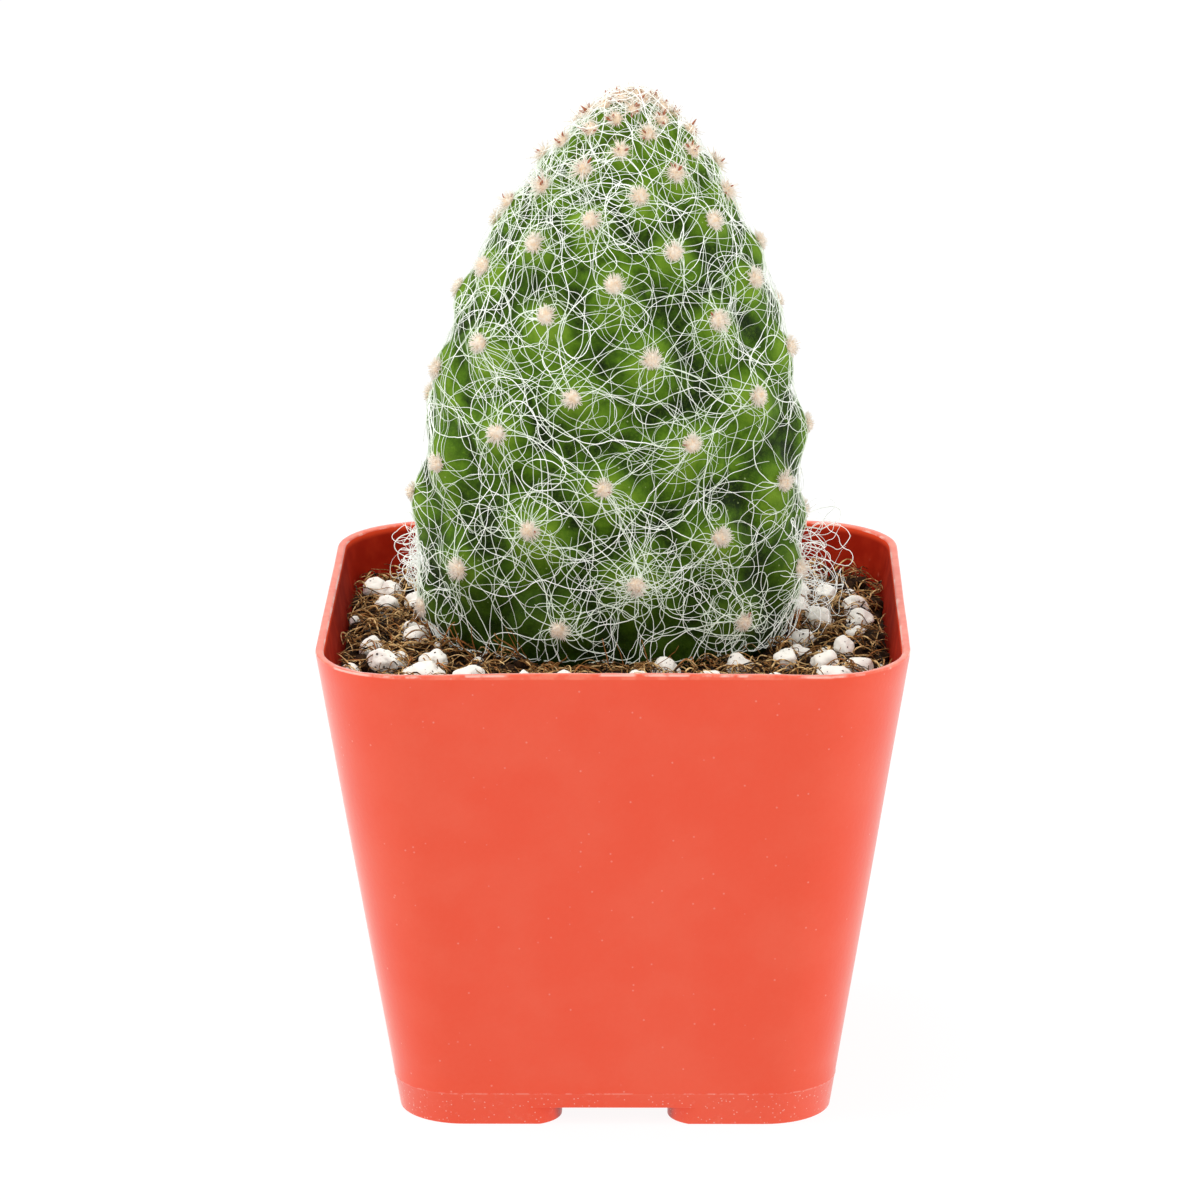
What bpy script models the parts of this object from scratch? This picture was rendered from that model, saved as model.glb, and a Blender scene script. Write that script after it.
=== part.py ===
"""Potted prickly pear: a square nursery pot, the soil that fills it, and one thick pad with hairy areoles.

Metres, +Z up. The origin is the middle of the pot's base, and the pot's front faces -Y.
"""

import math
import random

import bmesh
import bpy
import numpy as np
from mathutils import Matrix, Vector, noise
from mathutils.bvhtree import BVHTree

MM = 0.001
GAP = 0.3 * MM

# Pot: a tapered square with rounded corners, thin walls, four hollow feet and a cross of drain channels
POT_HEIGHT = 53.0 * MM
POT_TOP_HALF = 31.75 * MM
POT_BASE_HALF = 23.55 * MM
POT_TOP_CORNER = 11.15 * MM
POT_BASE_CORNER = 7.26 * MM
POT_WALL = 0.85 * MM
CORNER_STEPS = 8
WELL_STEPS = 4
CHANNEL_HEIGHT = 2.0 * MM
CHANNEL_HALF = 5.75 * MM
FOOT_CORNER = 4.0 * MM
FOOT_CORNER_STEPS = 5
WELL_MARGIN = 0.15 * MM
POT_FLOOR = CHANNEL_HEIGHT + POT_WALL
DRAIN_RADIUS = 1.8 * MM
DRAIN_OFFSET = 13.5 * MM
DRAIN_SIDES = 16
CUT_REACH = 5.0 * MM
JOIN_DEPTH = 1.0 * MM

# Soil
SOIL_TOP = 48.0 * MM
SOIL_RELIEF = 1.3 * MM
SOIL_CRUMB = 3.2 * MM
SOIL_CORNER_STEPS = 4
SOIL_SIDE_STEPS = 7
SOIL_RINGS = (1.0, 0.93, 0.86, 0.78, 0.69, 0.59, 0.48, 0.35)

# Perlite and crumbs: places across and back, and widths. The first ones lie where they show from the front
SHOWN_GRAINS = (
    (-24.6, 14.6, 3.4),
    (-24.9, 10.6, 2.6),
    (-21.6, 15.8, 2.8),
    (-25.2, 19.6, 2.8),
    (-24.3, 0.4, 3.6),
    (-20.6, -10.2, 3.2),
    (-20.4, -14.6, 2.6),
    (-24.2, -6.8, 3.0),
    (-24.6, -12.4, 2.8),
    (-16.4, -16.0, 2.8),
    (3.4, -15.2, 2.6),
    (10.2, -16.0, 3.0),
    (22.4, 15.6, 3.0),
    (23.6, 6.4, 4.2),
    (24.8, 20.4, 2.6),
    (22.6, -4.6, 3.0),
    (25.2, 0.4, 2.6),
    (20.4, -12.4, 2.8),
    (24.4, -11.2, 3.2),
    (22.2, -17.4, 2.8),
)
HIDDEN_GRAINS = 14
CRUMBS = 26
GRAIN_WIDTHS = (2.2 * MM, 3.8 * MM)
CRUMB_WIDTHS = (2.0 * MM, 3.2 * MM)
GRAIN_SPACING = 0.9
GRAIN_RAISED = 0.02
GRAIN_LUMPS = 0.5
SEED = 7

# Pad: half widths across the flat face by height, up to the grooves between its tubercles
PAD_OUTLINE = (
    (34.0, 0.0),
    (36.0, 3.0),
    (41.0, 7.6),
    (45.5, 14.6),
    (48.0, 18.4),
    (52.4, 19.9),
    (59.0, 20.5),
    (66.0, 20.1),
    (75.0, 19.3),
    (84.0, 17.2),
    (93.0, 13.7),
    (101.7, 8.4),
    (105.6, 5.0),
    (107.7, 2.7),
    (108.6, 0.0),
)
PAD_THICKNESS = 0.6
PAD_BACK = 1.0 * MM
PAD_LEAN = ((34.0, 0.0), (58.0, -0.7), (84.0, 0.3), (93.0, 0.7), (106.0, 1.8), (108.6, 2.0))
OUTLINE_STEPS = 24
PAD_SIDES = 42
PAD_SIDE_EVENNESS = 0.25
PAD_RINGS_IN_SOIL = 4
PAD_RINGS_ABOVE = 25

# Areoles: a spiral from the tip, each one turn angle on from the last and a little lower
AREOLE_COUNT = 104
AREOLE_FIRST_ANGLE = math.radians(-6.8)
AREOLE_TURN = math.radians(66.8)
AREOLE_DROP = 0.052 * MM
AREOLE_DROP_GROWTH = 0.0055 * MM
AREOLE_LOWEST = 50.8 * MM

# Tubercles: a low mound under each areole, highest at the areole
TUBERCLE_PART = 0.21
TUBERCLE_MOST = 1.9 * MM
TUBERCLE_SAG = 0.2
TUBERCLE_ROUNDNESS = 2.2
TUBERCLE_TILT = 0.8
TUBERCLE_FADE = (49.2 * MM, 51.5 * MM)

# Spines: a tuft of short bristles and some arched hairs on each areole
BRISTLES = 3
BRISTLE_LENGTH = 1.9 * MM
BRISTLE_RADIUS = 0.3 * MM
BRISTLE_SPREAD = 0.45
BRISTLE_RING = 0.5 * MM
HAIRS_BY_TURNS = (2, 1)
HAIR_SPANS = 3
HAIR_LENGTHS = (7.0 * MM, 11.0 * MM)
HAIR_RING = 1.0 * MM
HAIR_LIFTS = (0.7 * MM, 2.4 * MM)
HAIR_RADIUS = 0.2 * MM
HAIR_TURN = math.radians(137.5)
HAIR_CLEARANCE = 1.7 * MM
HAIR_LOWEST = 50.9 * MM
SPINE_SUNK = 0.7 * MM
PROBE = 5.0 * MM
CROWN_LENGTH = 9.0 * MM
SMALL_ANGLE = 0.0005
SHARP_ANGLE = math.radians(35)


def linear(red, green, blue):
    """A colour given in everyday 0 to 255 values, as a shader takes it."""
    return (*(((c / 255 + 0.055) / 1.055) ** 2.4 for c in (red, green, blue)), 1.0)


def material(name, colour, roughness):
    """A plain finish of one colour."""
    made = bpy.data.materials.new(name)
    made.use_nodes = True
    shader = made.node_tree.nodes["Principled BSDF"]
    shader.inputs["Base Color"].default_value = colour
    shader.inputs["Roughness"].default_value = roughness
    shader.inputs["Metallic"].default_value = 0.0
    return made


def collection(name):
    """A new collection in the scene."""
    made = bpy.data.collections.new(name)
    bpy.context.scene.collection.children.link(made)
    return made


def solid(name, bm, home):
    """An object made from a bmesh, in its collection."""
    mesh = bpy.data.meshes.new(name)
    bm.to_mesh(mesh)
    bm.free()
    made = bpy.data.objects.new(name, mesh)
    home.objects.link(made)
    return made


def boolean(target, operation, others):
    """One Boolean of an object with a whole collection, applied. The collection is then removed."""
    modifier = target.modifiers.new(operation, "BOOLEAN")
    modifier.operation = operation
    modifier.operand_type = "COLLECTION"
    modifier.collection = others
    bpy.context.view_layer.update()
    evaluated = target.evaluated_get(bpy.context.evaluated_depsgraph_get())
    result = bpy.data.meshes.new_from_object(evaluated)
    target.modifiers.clear()
    target.data = result
    for used in list(others.objects):
        bpy.data.objects.remove(used)
    bpy.data.collections.remove(others)


def finish(target, paint):
    """Give a finished piece its material and smooth shading between its edges."""
    target.data.materials.clear()
    target.data.materials.append(paint)
    target.data.shade_smooth()
    target.data.set_sharp_from_angle(angle=SHARP_ANGLE)


def loft(bm, rings):
    """A closed skin over rings of equal count, from the lowest to the highest."""
    rows = [[bm.verts.new(point) for point in ring] for ring in rings]
    for low, high in zip(rows, rows[1:]):
        for here, there in zip(range(len(low)), [*range(1, len(low)), 0]):
            bm.faces.new((low[here], low[there], high[there], high[here]))
    bm.faces.new(reversed(rows[0]))
    bm.faces.new(rows[-1])


def arc(centre, radius, start, steps):
    """A quarter circle in plan, counter-clockwise from the start angle in degrees."""
    for step in range(steps + 1):
        angle = math.radians(start + 90 * step / steps)
        yield centre[0] + radius * math.cos(angle), centre[1] + radius * math.sin(angle)


def rounded_rectangle(low, high, radii, height, corner_steps, side_steps=1):
    """A ring in plan from its low to its high corner, its corner radii counter-clockwise from +X +Y."""
    ends = ((high[0], high[1]), (low[0], high[1]), (low[0], low[1]), (high[0], low[1]))
    signs = ((1, 1), (-1, 1), (-1, -1), (1, -1))
    corners = []
    for index, (end, sign, radius) in enumerate(zip(ends, signs, radii)):
        centre = (end[0] - sign[0] * radius, end[1] - sign[1] * radius)
        corners.append(list(arc(centre, radius, 90 * index, corner_steps)))
    ring = []
    for corner, following in zip(corners, corners[1:] + corners[:1]):
        ring += corner
        leave, arrive = Vector(corner[-1]), Vector(following[0])
        ring += [leave.lerp(arrive, step / side_steps) for step in range(1, side_steps)]
    return [Vector((x, y, height)) for x, y in ring]


def pot_ring(height, inset=0.0, corner_steps=CORNER_STEPS, side_steps=1):
    """The pot's section at a height, or one that lies inside it."""
    up = height / POT_HEIGHT
    half = POT_BASE_HALF + (POT_TOP_HALF - POT_BASE_HALF) * up - inset
    corner = POT_BASE_CORNER + (POT_TOP_CORNER - POT_BASE_CORNER) * up - inset
    return rounded_rectangle((-half, -half), (half, half), [corner] * 4, height, corner_steps, side_steps)


def turned(points, quarters):
    """Points turned about the pot's middle by quarter turns."""
    turn = Matrix.Rotation(math.radians(90 * quarters), 3, "Z")
    return [turn @ Vector(point) for point in points]


def well_rings(quarters, inset):
    """The two rings of one foot's hollow, or of the soil that fills it."""
    low = CHANNEL_HALF + POT_WALL + inset
    high = POT_BASE_HALF - POT_WALL - WELL_MARGIN - inset
    inner = FOOT_CORNER - POT_WALL - inset
    radii = (POT_BASE_CORNER - POT_WALL - inset, inner, inner, inner)
    rings = [
        rounded_rectangle((low, low), (high, high), radii, height, WELL_STEPS)
        for height in (POT_WALL + inset, POT_FLOOR + JOIN_DEPTH)
    ]
    return [turned(ring, quarters) for ring in rings]


def channel_outline(height):
    """The cross between the four feet, with the feet's rounded corners left standing."""
    edge = POT_BASE_HALF + (POT_TOP_HALF - POT_BASE_HALF) * CHANNEL_HEIGHT / POT_HEIGHT
    near = CHANNEL_HALF + FOOT_CORNER
    far = edge - FOOT_CORNER
    ring = []
    for quarters in range(4):
        foot = [(edge + CUT_REACH, near)]
        foot += reversed(list(arc((far, near), FOOT_CORNER, 270, FOOT_CORNER_STEPS)))
        foot += reversed(list(arc((near, near), FOOT_CORNER, 180, FOOT_CORNER_STEPS)))
        foot += reversed(list(arc((near, far), FOOT_CORNER, 90, FOOT_CORNER_STEPS)))
        foot.append((near, edge + CUT_REACH))
        ring += turned([(x, y, height) for x, y in foot], quarters)
    return ring


def lofted(name, rings, home):
    """An object that is one loft."""
    bm = bmesh.new()
    loft(bm, rings)
    return solid(name, bm, home)


def make_pot(parts):
    """The moulded pot: a loft less its inside, foot wells, channels and drain holes."""
    pot = lofted("pot", [pot_ring(0.0), pot_ring(POT_HEIGHT)], parts)
    cutters = collection("pot cutters")
    lofted("inside", [pot_ring(POT_FLOOR, POT_WALL), pot_ring(POT_HEIGHT + CUT_REACH, POT_WALL)], cutters)
    for quarters in range(4):
        lofted(f"foot well {quarters + 1}", well_rings(quarters, 0.0), cutters)
    lofted("channels", [channel_outline(-CUT_REACH), channel_outline(CHANNEL_HEIGHT)], cutters)
    arm = (DRAIN_OFFSET, 0.0, 0.0)
    places = [Vector((0.0, 0.0, 0.0))] + [turned([arm], quarters)[0] for quarters in range(4)]
    for number, place in enumerate(places, 1):
        bm = bmesh.new()
        bmesh.ops.create_cone(
            bm,
            cap_ends=True,
            segments=DRAIN_SIDES,
            radius1=DRAIN_RADIUS,
            radius2=DRAIN_RADIUS,
            depth=2 * CUT_REACH,
            matrix=Matrix.Translation(place + Vector((0.0, 0.0, POT_FLOOR))),
        )
        solid(f"drain {number}", bm, cutters)
    boolean(pot, "DIFFERENCE", cutters)
    finish(pot, material("salmon plastic", linear(237, 96, 72), 0.42))


def smooth_outline(points):
    """A smooth curve through the points, which closes square to the axis at both ends."""
    corners = [Vector(point) * MM for point in points]
    corners = [corners[1] * Vector((1, -1)), *corners, corners[-2] * Vector((1, -1))]
    curve = []
    for before, start, end, after in zip(corners, corners[1:], corners[2:], corners[3:]):
        for step in range(OUTLINE_STEPS):
            t = step / OUTLINE_STEPS
            bend = (2 * before - 5 * start + 4 * end - after) * t**2
            twist = (3 * start - before - 3 * end + after) * t**3
            curve.append(start + ((end - before) * t + bend + twist) / 2)
    curve.append(corners[-2])
    return np.array(curve)


OUTLINE = smooth_outline(PAD_OUTLINE)
ALONG = np.concatenate([[0.0], np.cumsum(np.hypot(*np.diff(OUTLINE, axis=0).T))])
LEAN = np.array(PAD_LEAN) * MM


def along_at(height):
    """Distance up the pad's outline at a height."""
    return float(np.interp(height, OUTLINE[:, 0], ALONG))


def pad_point(angle, along):
    """A point of the pad without its tubercles, by angle from the front and distance up the outline."""
    height = float(np.interp(along, ALONG, OUTLINE[:, 0]))
    half = float(np.interp(along, ALONG, OUTLINE[:, 1]))
    middle = float(np.interp(height, LEAN[:, 0], LEAN[:, 1]))
    return Vector(
        (middle + half * math.sin(angle), PAD_BACK - PAD_THICKNESS * half * math.cos(angle), height)
    )


def pad_normal(angle, along):
    """The direction that points out of the pad there."""
    step = 0.3 * MM
    side = pad_point(angle + SMALL_ANGLE, along) - pad_point(angle - SMALL_ANGLE, along)
    up = pad_point(angle, min(along + step, ALONG[-1])) - pad_point(angle, along - step)
    return side.cross(up).normalized()


def pad_areoles():
    """The angle and the distance up the outline of each areole, from the tip down."""
    found = []
    for index in range(1, AREOLE_COUNT + 1):
        height = PAD_OUTLINE[-1][0] * MM - AREOLE_DROP * index - AREOLE_DROP_GROWTH * index**2
        found.append((AREOLE_FIRST_ANGLE + AREOLE_TURN * index, along_at(height)))
    return found


def tubercle_heights(points, areoles):
    """How far the tubercles lift each point: most just under its nearest areole, nothing between two."""
    seats = np.array([pad_point(*areole) for areole in areoles])
    apart = np.linalg.norm(seats[:, None] - seats[None], axis=2)
    spacing = np.sort(apart, axis=1)[:, 1:5].mean(axis=1)
    mounds = seats.copy()
    mounds[:, 2] -= TUBERCLE_SAG * spacing
    away = np.linalg.norm(points[:, None] - mounds[None], axis=2)
    nearest = away.argmin(axis=1)
    first, second = np.sort(away, axis=1)[:, :2].T
    mound = 1 - (first / second) ** TUBERCLE_ROUNDNESS
    rise = (points[:, 2] - mounds[nearest, 2]) / spacing[nearest]
    full = np.minimum(TUBERCLE_PART * spacing[nearest], TUBERCLE_MOST)
    fade = np.clip((points[:, 2] - TUBERCLE_FADE[0]) / (TUBERCLE_FADE[1] - TUBERCLE_FADE[0]), 0, 1)
    return full * mound * (1 + TUBERCLE_TILT * rise) * fade


def pad_shell(rings_in_soil, rings_above, swell):
    """The pad as a sphere drawn out to its outline, swollen by a distance all over."""
    bm = bmesh.new()
    rings = rings_in_soil + rings_above
    bmesh.ops.create_uvsphere(bm, u_segments=PAD_SIDES, v_segments=rings, radius=1.0)
    soil_line = along_at(SOIL_TOP)
    for vert in bm.verts:
        ring = rings * (1 - math.acos(max(-1.0, min(1.0, vert.co.z))) / math.pi)
        if ring < rings_in_soil:
            along = soil_line * ring / rings_in_soil
        else:
            along = soil_line + (ALONG[-1] - soil_line) * (ring - rings_in_soil) / rings_above
        turn = math.atan2(vert.co.x, -vert.co.y)
        vert.co = pad_point(turn - PAD_SIDE_EVENNESS / 2 * math.sin(2 * turn), along)
    bm.normal_update()
    for vert in bm.verts:
        vert.co += vert.normal * swell
    return bm


def spine(name, path, radius, home):
    """A three-sided needle along a path, thinner towards its tip."""
    bm = bmesh.new()
    start = path[1] - path[0]
    across = (path[-1] - path[0]).cross(start) if len(path) > 2 else start.orthogonal()
    rows = []
    for index, point in enumerate(path[:-1]):
        forward = (path[index + 1] - path[max(index - 1, 0)]).normalized()
        out = across.cross(forward).normalized() * radius * (1 - index / (2 * len(path)))
        ring = [point + Matrix.Rotation(math.radians(120 * side), 3, forward) @ out for side in range(3)]
        rows.append([bm.verts.new(corner) for corner in ring])
    tip = bm.verts.new(path[-1])
    bm.faces.new(reversed(rows[0]))
    for side in range(3):
        following = (side + 1) % 3
        for low, high in zip(rows, rows[1:]):
            bm.faces.new((low[side], low[following], high[following], high[side]))
        bm.faces.new((rows[-1][side], rows[-1][following], tip))
    return solid(name, bm, home)


def hair_path(angle, along, heading, length, lift):
    """A path out of an areole and over the pad in an arch, by its heading up from the horizontal."""
    wide = PAD_THICKNESS + (1 - PAD_THICKNESS) * math.cos(angle) ** 2
    half = max(float(np.interp(along, ALONG, OUTLINE[:, 1])), CROWN_LENGTH / 2)
    lowest = along_at(HAIR_LOWEST)
    highest = ALONG[-1] - HAIR_RADIUS
    path = []
    for t in (HAIR_RING / length, *(step / HAIR_SPANS for step in range(1, HAIR_SPANS + 1))):
        there = angle + t * length * math.cos(heading) / (half * wide)
        up = min(max(along + t * length * math.sin(heading), lowest), highest)
        rise = HAIR_CLEARANCE + lift * math.sin(math.pi * t)
        path.append(pad_point(there, up) + pad_normal(there, up) * rise)
    return path


def sunk(surface, point, out):
    """The place under a point where a spine starts, well inside the pad."""
    hit = surface.ray_cast(point + out * PROBE, -out)[0]
    return hit - out * SPINE_SUNK


def add_spines(pad, surface):
    """Bristles and hairs on every areole above the soil, joined to the pad."""
    spines = collection("spines")
    draw = random.Random(SEED)
    lowest = along_at(AREOLE_LOWEST)
    for index, (angle, along) in enumerate(pad_areoles(), 1):
        if along < lowest:
            continue
        out = pad_normal(angle, along)
        aside = out.orthogonal().normalized()
        for number in range(BRISTLES):
            away = Matrix.Rotation(math.tau * number / BRISTLES + index, 3, out) @ aside
            seat = sunk(surface, pad_point(angle, along) + away * BRISTLE_RING, out)
            lean = (out + away * BRISTLE_SPREAD).normalized()
            tip = seat + lean * (BRISTLE_LENGTH + SPINE_SUNK) * draw.uniform(0.85, 1.1)
            spine(f"bristle {index}.{number}", [seat, tip], BRISTLE_RADIUS, spines)
        for number in range(HAIRS_BY_TURNS[index % len(HAIRS_BY_TURNS)]):
            heading = HAIR_TURN * (max(HAIRS_BY_TURNS) * index + number)
            if ALONG[-1] - along < CROWN_LENGTH:
                heading = -abs(math.remainder(heading, math.tau))
            path = hair_path(angle, along, heading, draw.uniform(*HAIR_LENGTHS), draw.uniform(*HAIR_LIFTS))
            path[0] = sunk(surface, path[0], out)
            spine(f"hair {index}.{number}", path, HAIR_RADIUS, spines)
    boolean(pad, "UNION", spines)


def make_pad(parts):
    """The living pad: its body, tubercles and spines as one solid, with its foot in the soil."""
    areoles = pad_areoles()
    bm = pad_shell(PAD_RINGS_IN_SOIL, PAD_RINGS_ABOVE, 0.0)
    lifts = tubercle_heights(np.array([vert.co for vert in bm.verts]), areoles)
    for vert, lift in zip(bm.verts, lifts):
        vert.co += vert.normal * float(lift)
    surface = BVHTree.FromBMesh(bm)
    pad = solid("cactus_pad", bm, parts)
    add_spines(pad, surface)
    finish(pad, material("cactus skin", linear(100, 150, 50), 0.5))


def soil_relief(x, y):
    """The soil's height at a place, with its crumbs."""
    return SOIL_TOP + SOIL_RELIEF * noise.noise(Vector((x, y, 0.0)) / SOIL_CRUMB)


def soil_body(parts):
    """The block of soil inside the pot, with a crumbled top."""
    inset = POT_WALL + GAP
    rings = [pot_ring(POT_FLOOR + GAP, inset, SOIL_CORNER_STEPS, SOIL_SIDE_STEPS)]
    edge = pot_ring(SOIL_TOP, inset, SOIL_CORNER_STEPS, SOIL_SIDE_STEPS)
    for part in SOIL_RINGS:
        rings.append([Vector((p.x * part, p.y * part, soil_relief(p.x * part, p.y * part))) for p in edge])
    return lofted("soil", rings, parts)


def clear_of_pot(x, y, room):
    """Whether a grain there keeps off the pot's wall."""
    up = SOIL_TOP / POT_HEIGHT
    half = POT_BASE_HALF + (POT_TOP_HALF - POT_BASE_HALF) * up - POT_WALL - GAP - room
    corner = POT_BASE_CORNER
    over = Vector((max(abs(x) - half + corner, 0.0), max(abs(y) - half + corner, 0.0)))
    return over.length < corner


def clear_of_pad(x, y, room):
    """Whether a grain there keeps off the pad's foot."""
    half = float(np.interp(SOIL_TOP, OUTLINE[:, 0], OUTLINE[:, 1]))
    return math.hypot(x / (half + room), (y - PAD_BACK) / (half * PAD_THICKNESS + room)) > 1


def grain_places(draw):
    """Where the perlite and crumbs lie, and how wide each is."""
    placed = [(x * MM, y * MM, width * MM) for x, y, width in SHOWN_GRAINS]
    wanted = [GRAIN_WIDTHS] * HIDDEN_GRAINS + [CRUMB_WIDTHS] * CRUMBS
    while wanted:
        x = draw.uniform(-POT_TOP_HALF, POT_TOP_HALF)
        y = draw.uniform(-POT_TOP_HALF, POT_TOP_HALF)
        width = draw.uniform(*wanted[-1])
        apart = all(math.hypot(x - a, y - b) > GRAIN_SPACING * (width + w) / 2 for a, b, w in placed)
        if apart and clear_of_pot(x, y, 0.6 * width) and clear_of_pad(x, y, 0.6 * width):
            placed.append((x, y, width))
            wanted.pop()
    return placed


def add_grains(soil):
    """Perlite and crumbs, half sunk in the soil and joined to it."""
    grains = collection("grains")
    draw = random.Random(SEED)
    for number, (x, y, width) in enumerate(grain_places(draw), 1):
        bm = bmesh.new()
        fine = 2 if number <= len(SHOWN_GRAINS) else 1
        bmesh.ops.create_icosphere(bm, subdivisions=fine, radius=width / 2)
        turn = Matrix.Rotation(draw.uniform(0, math.tau), 3, "Z")
        for vert in bm.verts:
            lump = noise.noise(vert.co / width * 2 + Vector((number, 0, 0)))
            vert.co = turn @ (vert.co * (1 + GRAIN_LUMPS * lump))
            vert.co += Vector((x, y, soil_relief(x, y) + GRAIN_RAISED * width))
        solid(f"grain {number}", bm, grains)
    for quarters in range(4):
        lofted(f"foot fill {quarters + 1}", well_rings(quarters, GAP), grains)
    boolean(soil, "UNION", grains)


def make_soil(parts):
    """The soil, with the plain hole that the pad's foot stands in."""
    soil = soil_body(parts)
    add_grains(soil)
    cutters = collection("soil cutters")
    solid("pad hole", pad_shell(PAD_RINGS_IN_SOIL, PAD_RINGS_ABOVE, GAP), cutters)
    boolean(soil, "DIFFERENCE", cutters)
    finish(soil, material("potting soil", linear(92, 60, 38), 0.95))


def main():
    for old in list(bpy.data.objects):
        bpy.data.objects.remove(old)
    parts = collection("potted prickly pear")
    make_pot(parts)
    make_soil(parts)
    make_pad(parts)


main()
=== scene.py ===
"""Potted prickly pear: a moulded pot, fibrous soil with perlite, and a thick pad under white hair.

Laid out as an add-on with settings, an operator for each piece and a panel, and run as a script.
Metres, +Z up. The pot's front and the pad's flat face look towards -Y.
"""

import math
import random

import bmesh
import bpy
import numpy as np
from bpy.props import FloatProperty, FloatVectorProperty, IntProperty, PointerProperty
from bpy.types import NodeSocket, Operator, Panel, PropertyGroup
from mathutils import Matrix, Quaternion, Vector, noise
from mathutils.bvhtree import BVHTree
from mathutils.kdtree import KDTree


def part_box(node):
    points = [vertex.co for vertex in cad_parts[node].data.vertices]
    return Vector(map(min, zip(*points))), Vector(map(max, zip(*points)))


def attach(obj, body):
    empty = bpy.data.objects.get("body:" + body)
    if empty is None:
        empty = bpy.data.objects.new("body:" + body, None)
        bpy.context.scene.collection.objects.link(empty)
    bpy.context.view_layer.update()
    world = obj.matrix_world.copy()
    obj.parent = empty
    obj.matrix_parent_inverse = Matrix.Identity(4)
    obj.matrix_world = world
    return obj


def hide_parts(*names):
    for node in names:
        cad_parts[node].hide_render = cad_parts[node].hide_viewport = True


bl_info = {
    "name": "Potted Prickly Pear",
    "version": (1, 0, 0),
    "blender": (4, 5, 0),
    "location": "3D View > Sidebar > Prickly Pear",
    "description": "Models a hairy prickly pear in a square nursery pot",
    "category": "Add Mesh",
}

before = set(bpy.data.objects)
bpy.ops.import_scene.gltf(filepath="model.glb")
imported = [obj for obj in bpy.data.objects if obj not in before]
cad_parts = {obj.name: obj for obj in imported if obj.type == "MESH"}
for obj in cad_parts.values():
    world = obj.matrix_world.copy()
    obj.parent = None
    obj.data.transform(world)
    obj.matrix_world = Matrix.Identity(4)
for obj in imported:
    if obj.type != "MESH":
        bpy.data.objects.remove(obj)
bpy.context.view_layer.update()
POT_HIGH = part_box("pot")[1]
SOIL_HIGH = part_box("soil")[1]

MM = 0.001
BODY = "root"
SEED = 7
MERGE = 0.0001 * MM

# Pot, to the frame's own rules: half widths and corner radii change evenly from base to rim
BASE_SHARE = 23.55 / 31.75
TOP_CORNER_SHARE = 11.15 / 31.75
BASE_CORNER_SHARE = 7.26 / 31.75
CORNER_STEPS = 14
SIDE_STEPS = 24
WALL_RINGS = 20
RIM_ROUNDING = 0.2 * MM
RIM_SLOPE = 0.05 * MM
FOOT_ROUNDING = 0.22 * MM
FOOT_EDGE = math.radians(50)
SHADED_EDGE = math.radians(38)
CHANNEL_HEIGHT = 2.0 * MM
CHANNEL_HALF = 5.75 * MM
FOOT_CORNER = 4.0 * MM
FOOT_PROUD = 0.06 * MM
DRAIN_RADIUS = 1.8 * MM
DRAIN_OFFSET = 13.5 * MM
DRAIN_SIDES = 48
WELL_INSET = 0.15 * MM
WALL_WAVE = 0.05 * MM
RIM_WEAR_DEPTH = 1.2 * MM
CUT_REACH = 5.0 * MM
GAP = 0.3 * MM

# Pad: the frame's outline, half widths across the flat face by height, in millimetres
PAD_OUTLINE = (
    (34.0, 0.0),
    (36.0, 3.0),
    (41.0, 7.6),
    (45.5, 14.6),
    (48.0, 18.4),
    (52.4, 19.9),
    (59.0, 20.5),
    (66.0, 20.1),
    (75.0, 19.3),
    (84.0, 17.2),
    (93.0, 13.7),
    (101.7, 8.4),
    (105.6, 5.0),
    (107.7, 2.7),
    (108.6, 0.0),
)
PAD_LEAN = ((34.0, 0.0), (58.0, -0.7), (84.0, 0.3), (93.0, 0.7), (106.0, 1.8), (108.6, 2.0))
PAD_THICKNESS = 0.6
PAD_BACK = 1.0 * MM
OUTLINE_STEPS = 24
PAD_SIDES = 200
PAD_RINGS = 240
SIDE_EVENNESS = 0.25

# Areoles: a spiral down from the tip
AREOLE_COUNT = 104
AREOLE_FIRST_ANGLE = math.radians(-6.8)
AREOLE_TURN = math.radians(66.8)
AREOLE_DROP = 0.052 * MM
AREOLE_DROP_GROWTH = 0.0055 * MM
AREOLE_LOWEST = 50.4 * MM

# How the spiral strays low on the right: degrees back and millimetres up, by height in millimetres
AREOLE_BACK = ((50, 15), (62, 11), (75, 5), (85, 3))
AREOLE_UP = ((50, 2.0), (56, 0.8), (62, 0))

# The share of that straying, by degrees round from the front
AREOLE_SHARE = ((-50, 0), (-25, 0.12), (0, 0.7), (45, 1.0), (75, 1.1), (130, 0.4), (180, 0))

# Tubercles: a low mound under each areole
TUBERCLE_PART = 0.21
TUBERCLE_MOST = 1.9 * MM
TUBERCLE_SAG = 0.1
TUBERCLE_POINT = 1.4
TUBERCLE_TILT = 0.5
TUBERCLE_FADE = (49.2 * MM, 51.5 * MM)

# Spines: bristles turn by the golden angle, and hairs wander near a veil round the pad
GOLDEN_TURN = math.radians(137.5)
CROWDED = 5.5 * MM
VEIL = 0.45 * MM
VEIL_SIDES = 72
VEIL_RINGS = 84
TUFT_SPREAD = math.radians(84)
TUFT_FOOT = 0.35 * MM
TUFT_ROOM = 1.1 * MM
TUFT_TIP = 0.4
LONG_BRISTLE = 1.8
LONG_BRISTLE_EVERY = 5
HAIR_CLEARANCE = 0.12 * MM
HAIR_CHANGE = 0.6
HAIR_CLIMB = 1.5 * MM
HAIR_KEPT_HEADING = 0.45
HAIR_WIDTHS = (0.45, 1.3, 0.72)
HAIR_TIP = 0.45
# Hair this far from the skin is painted full white; closer in it takes painted shade.
HAIR_FULL_LIGHT = 1.2 * MM
HAIR_PIECES = 3
HAIR_REACH = 6 * MM
LOW_HAIR = 60 * MM
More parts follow.
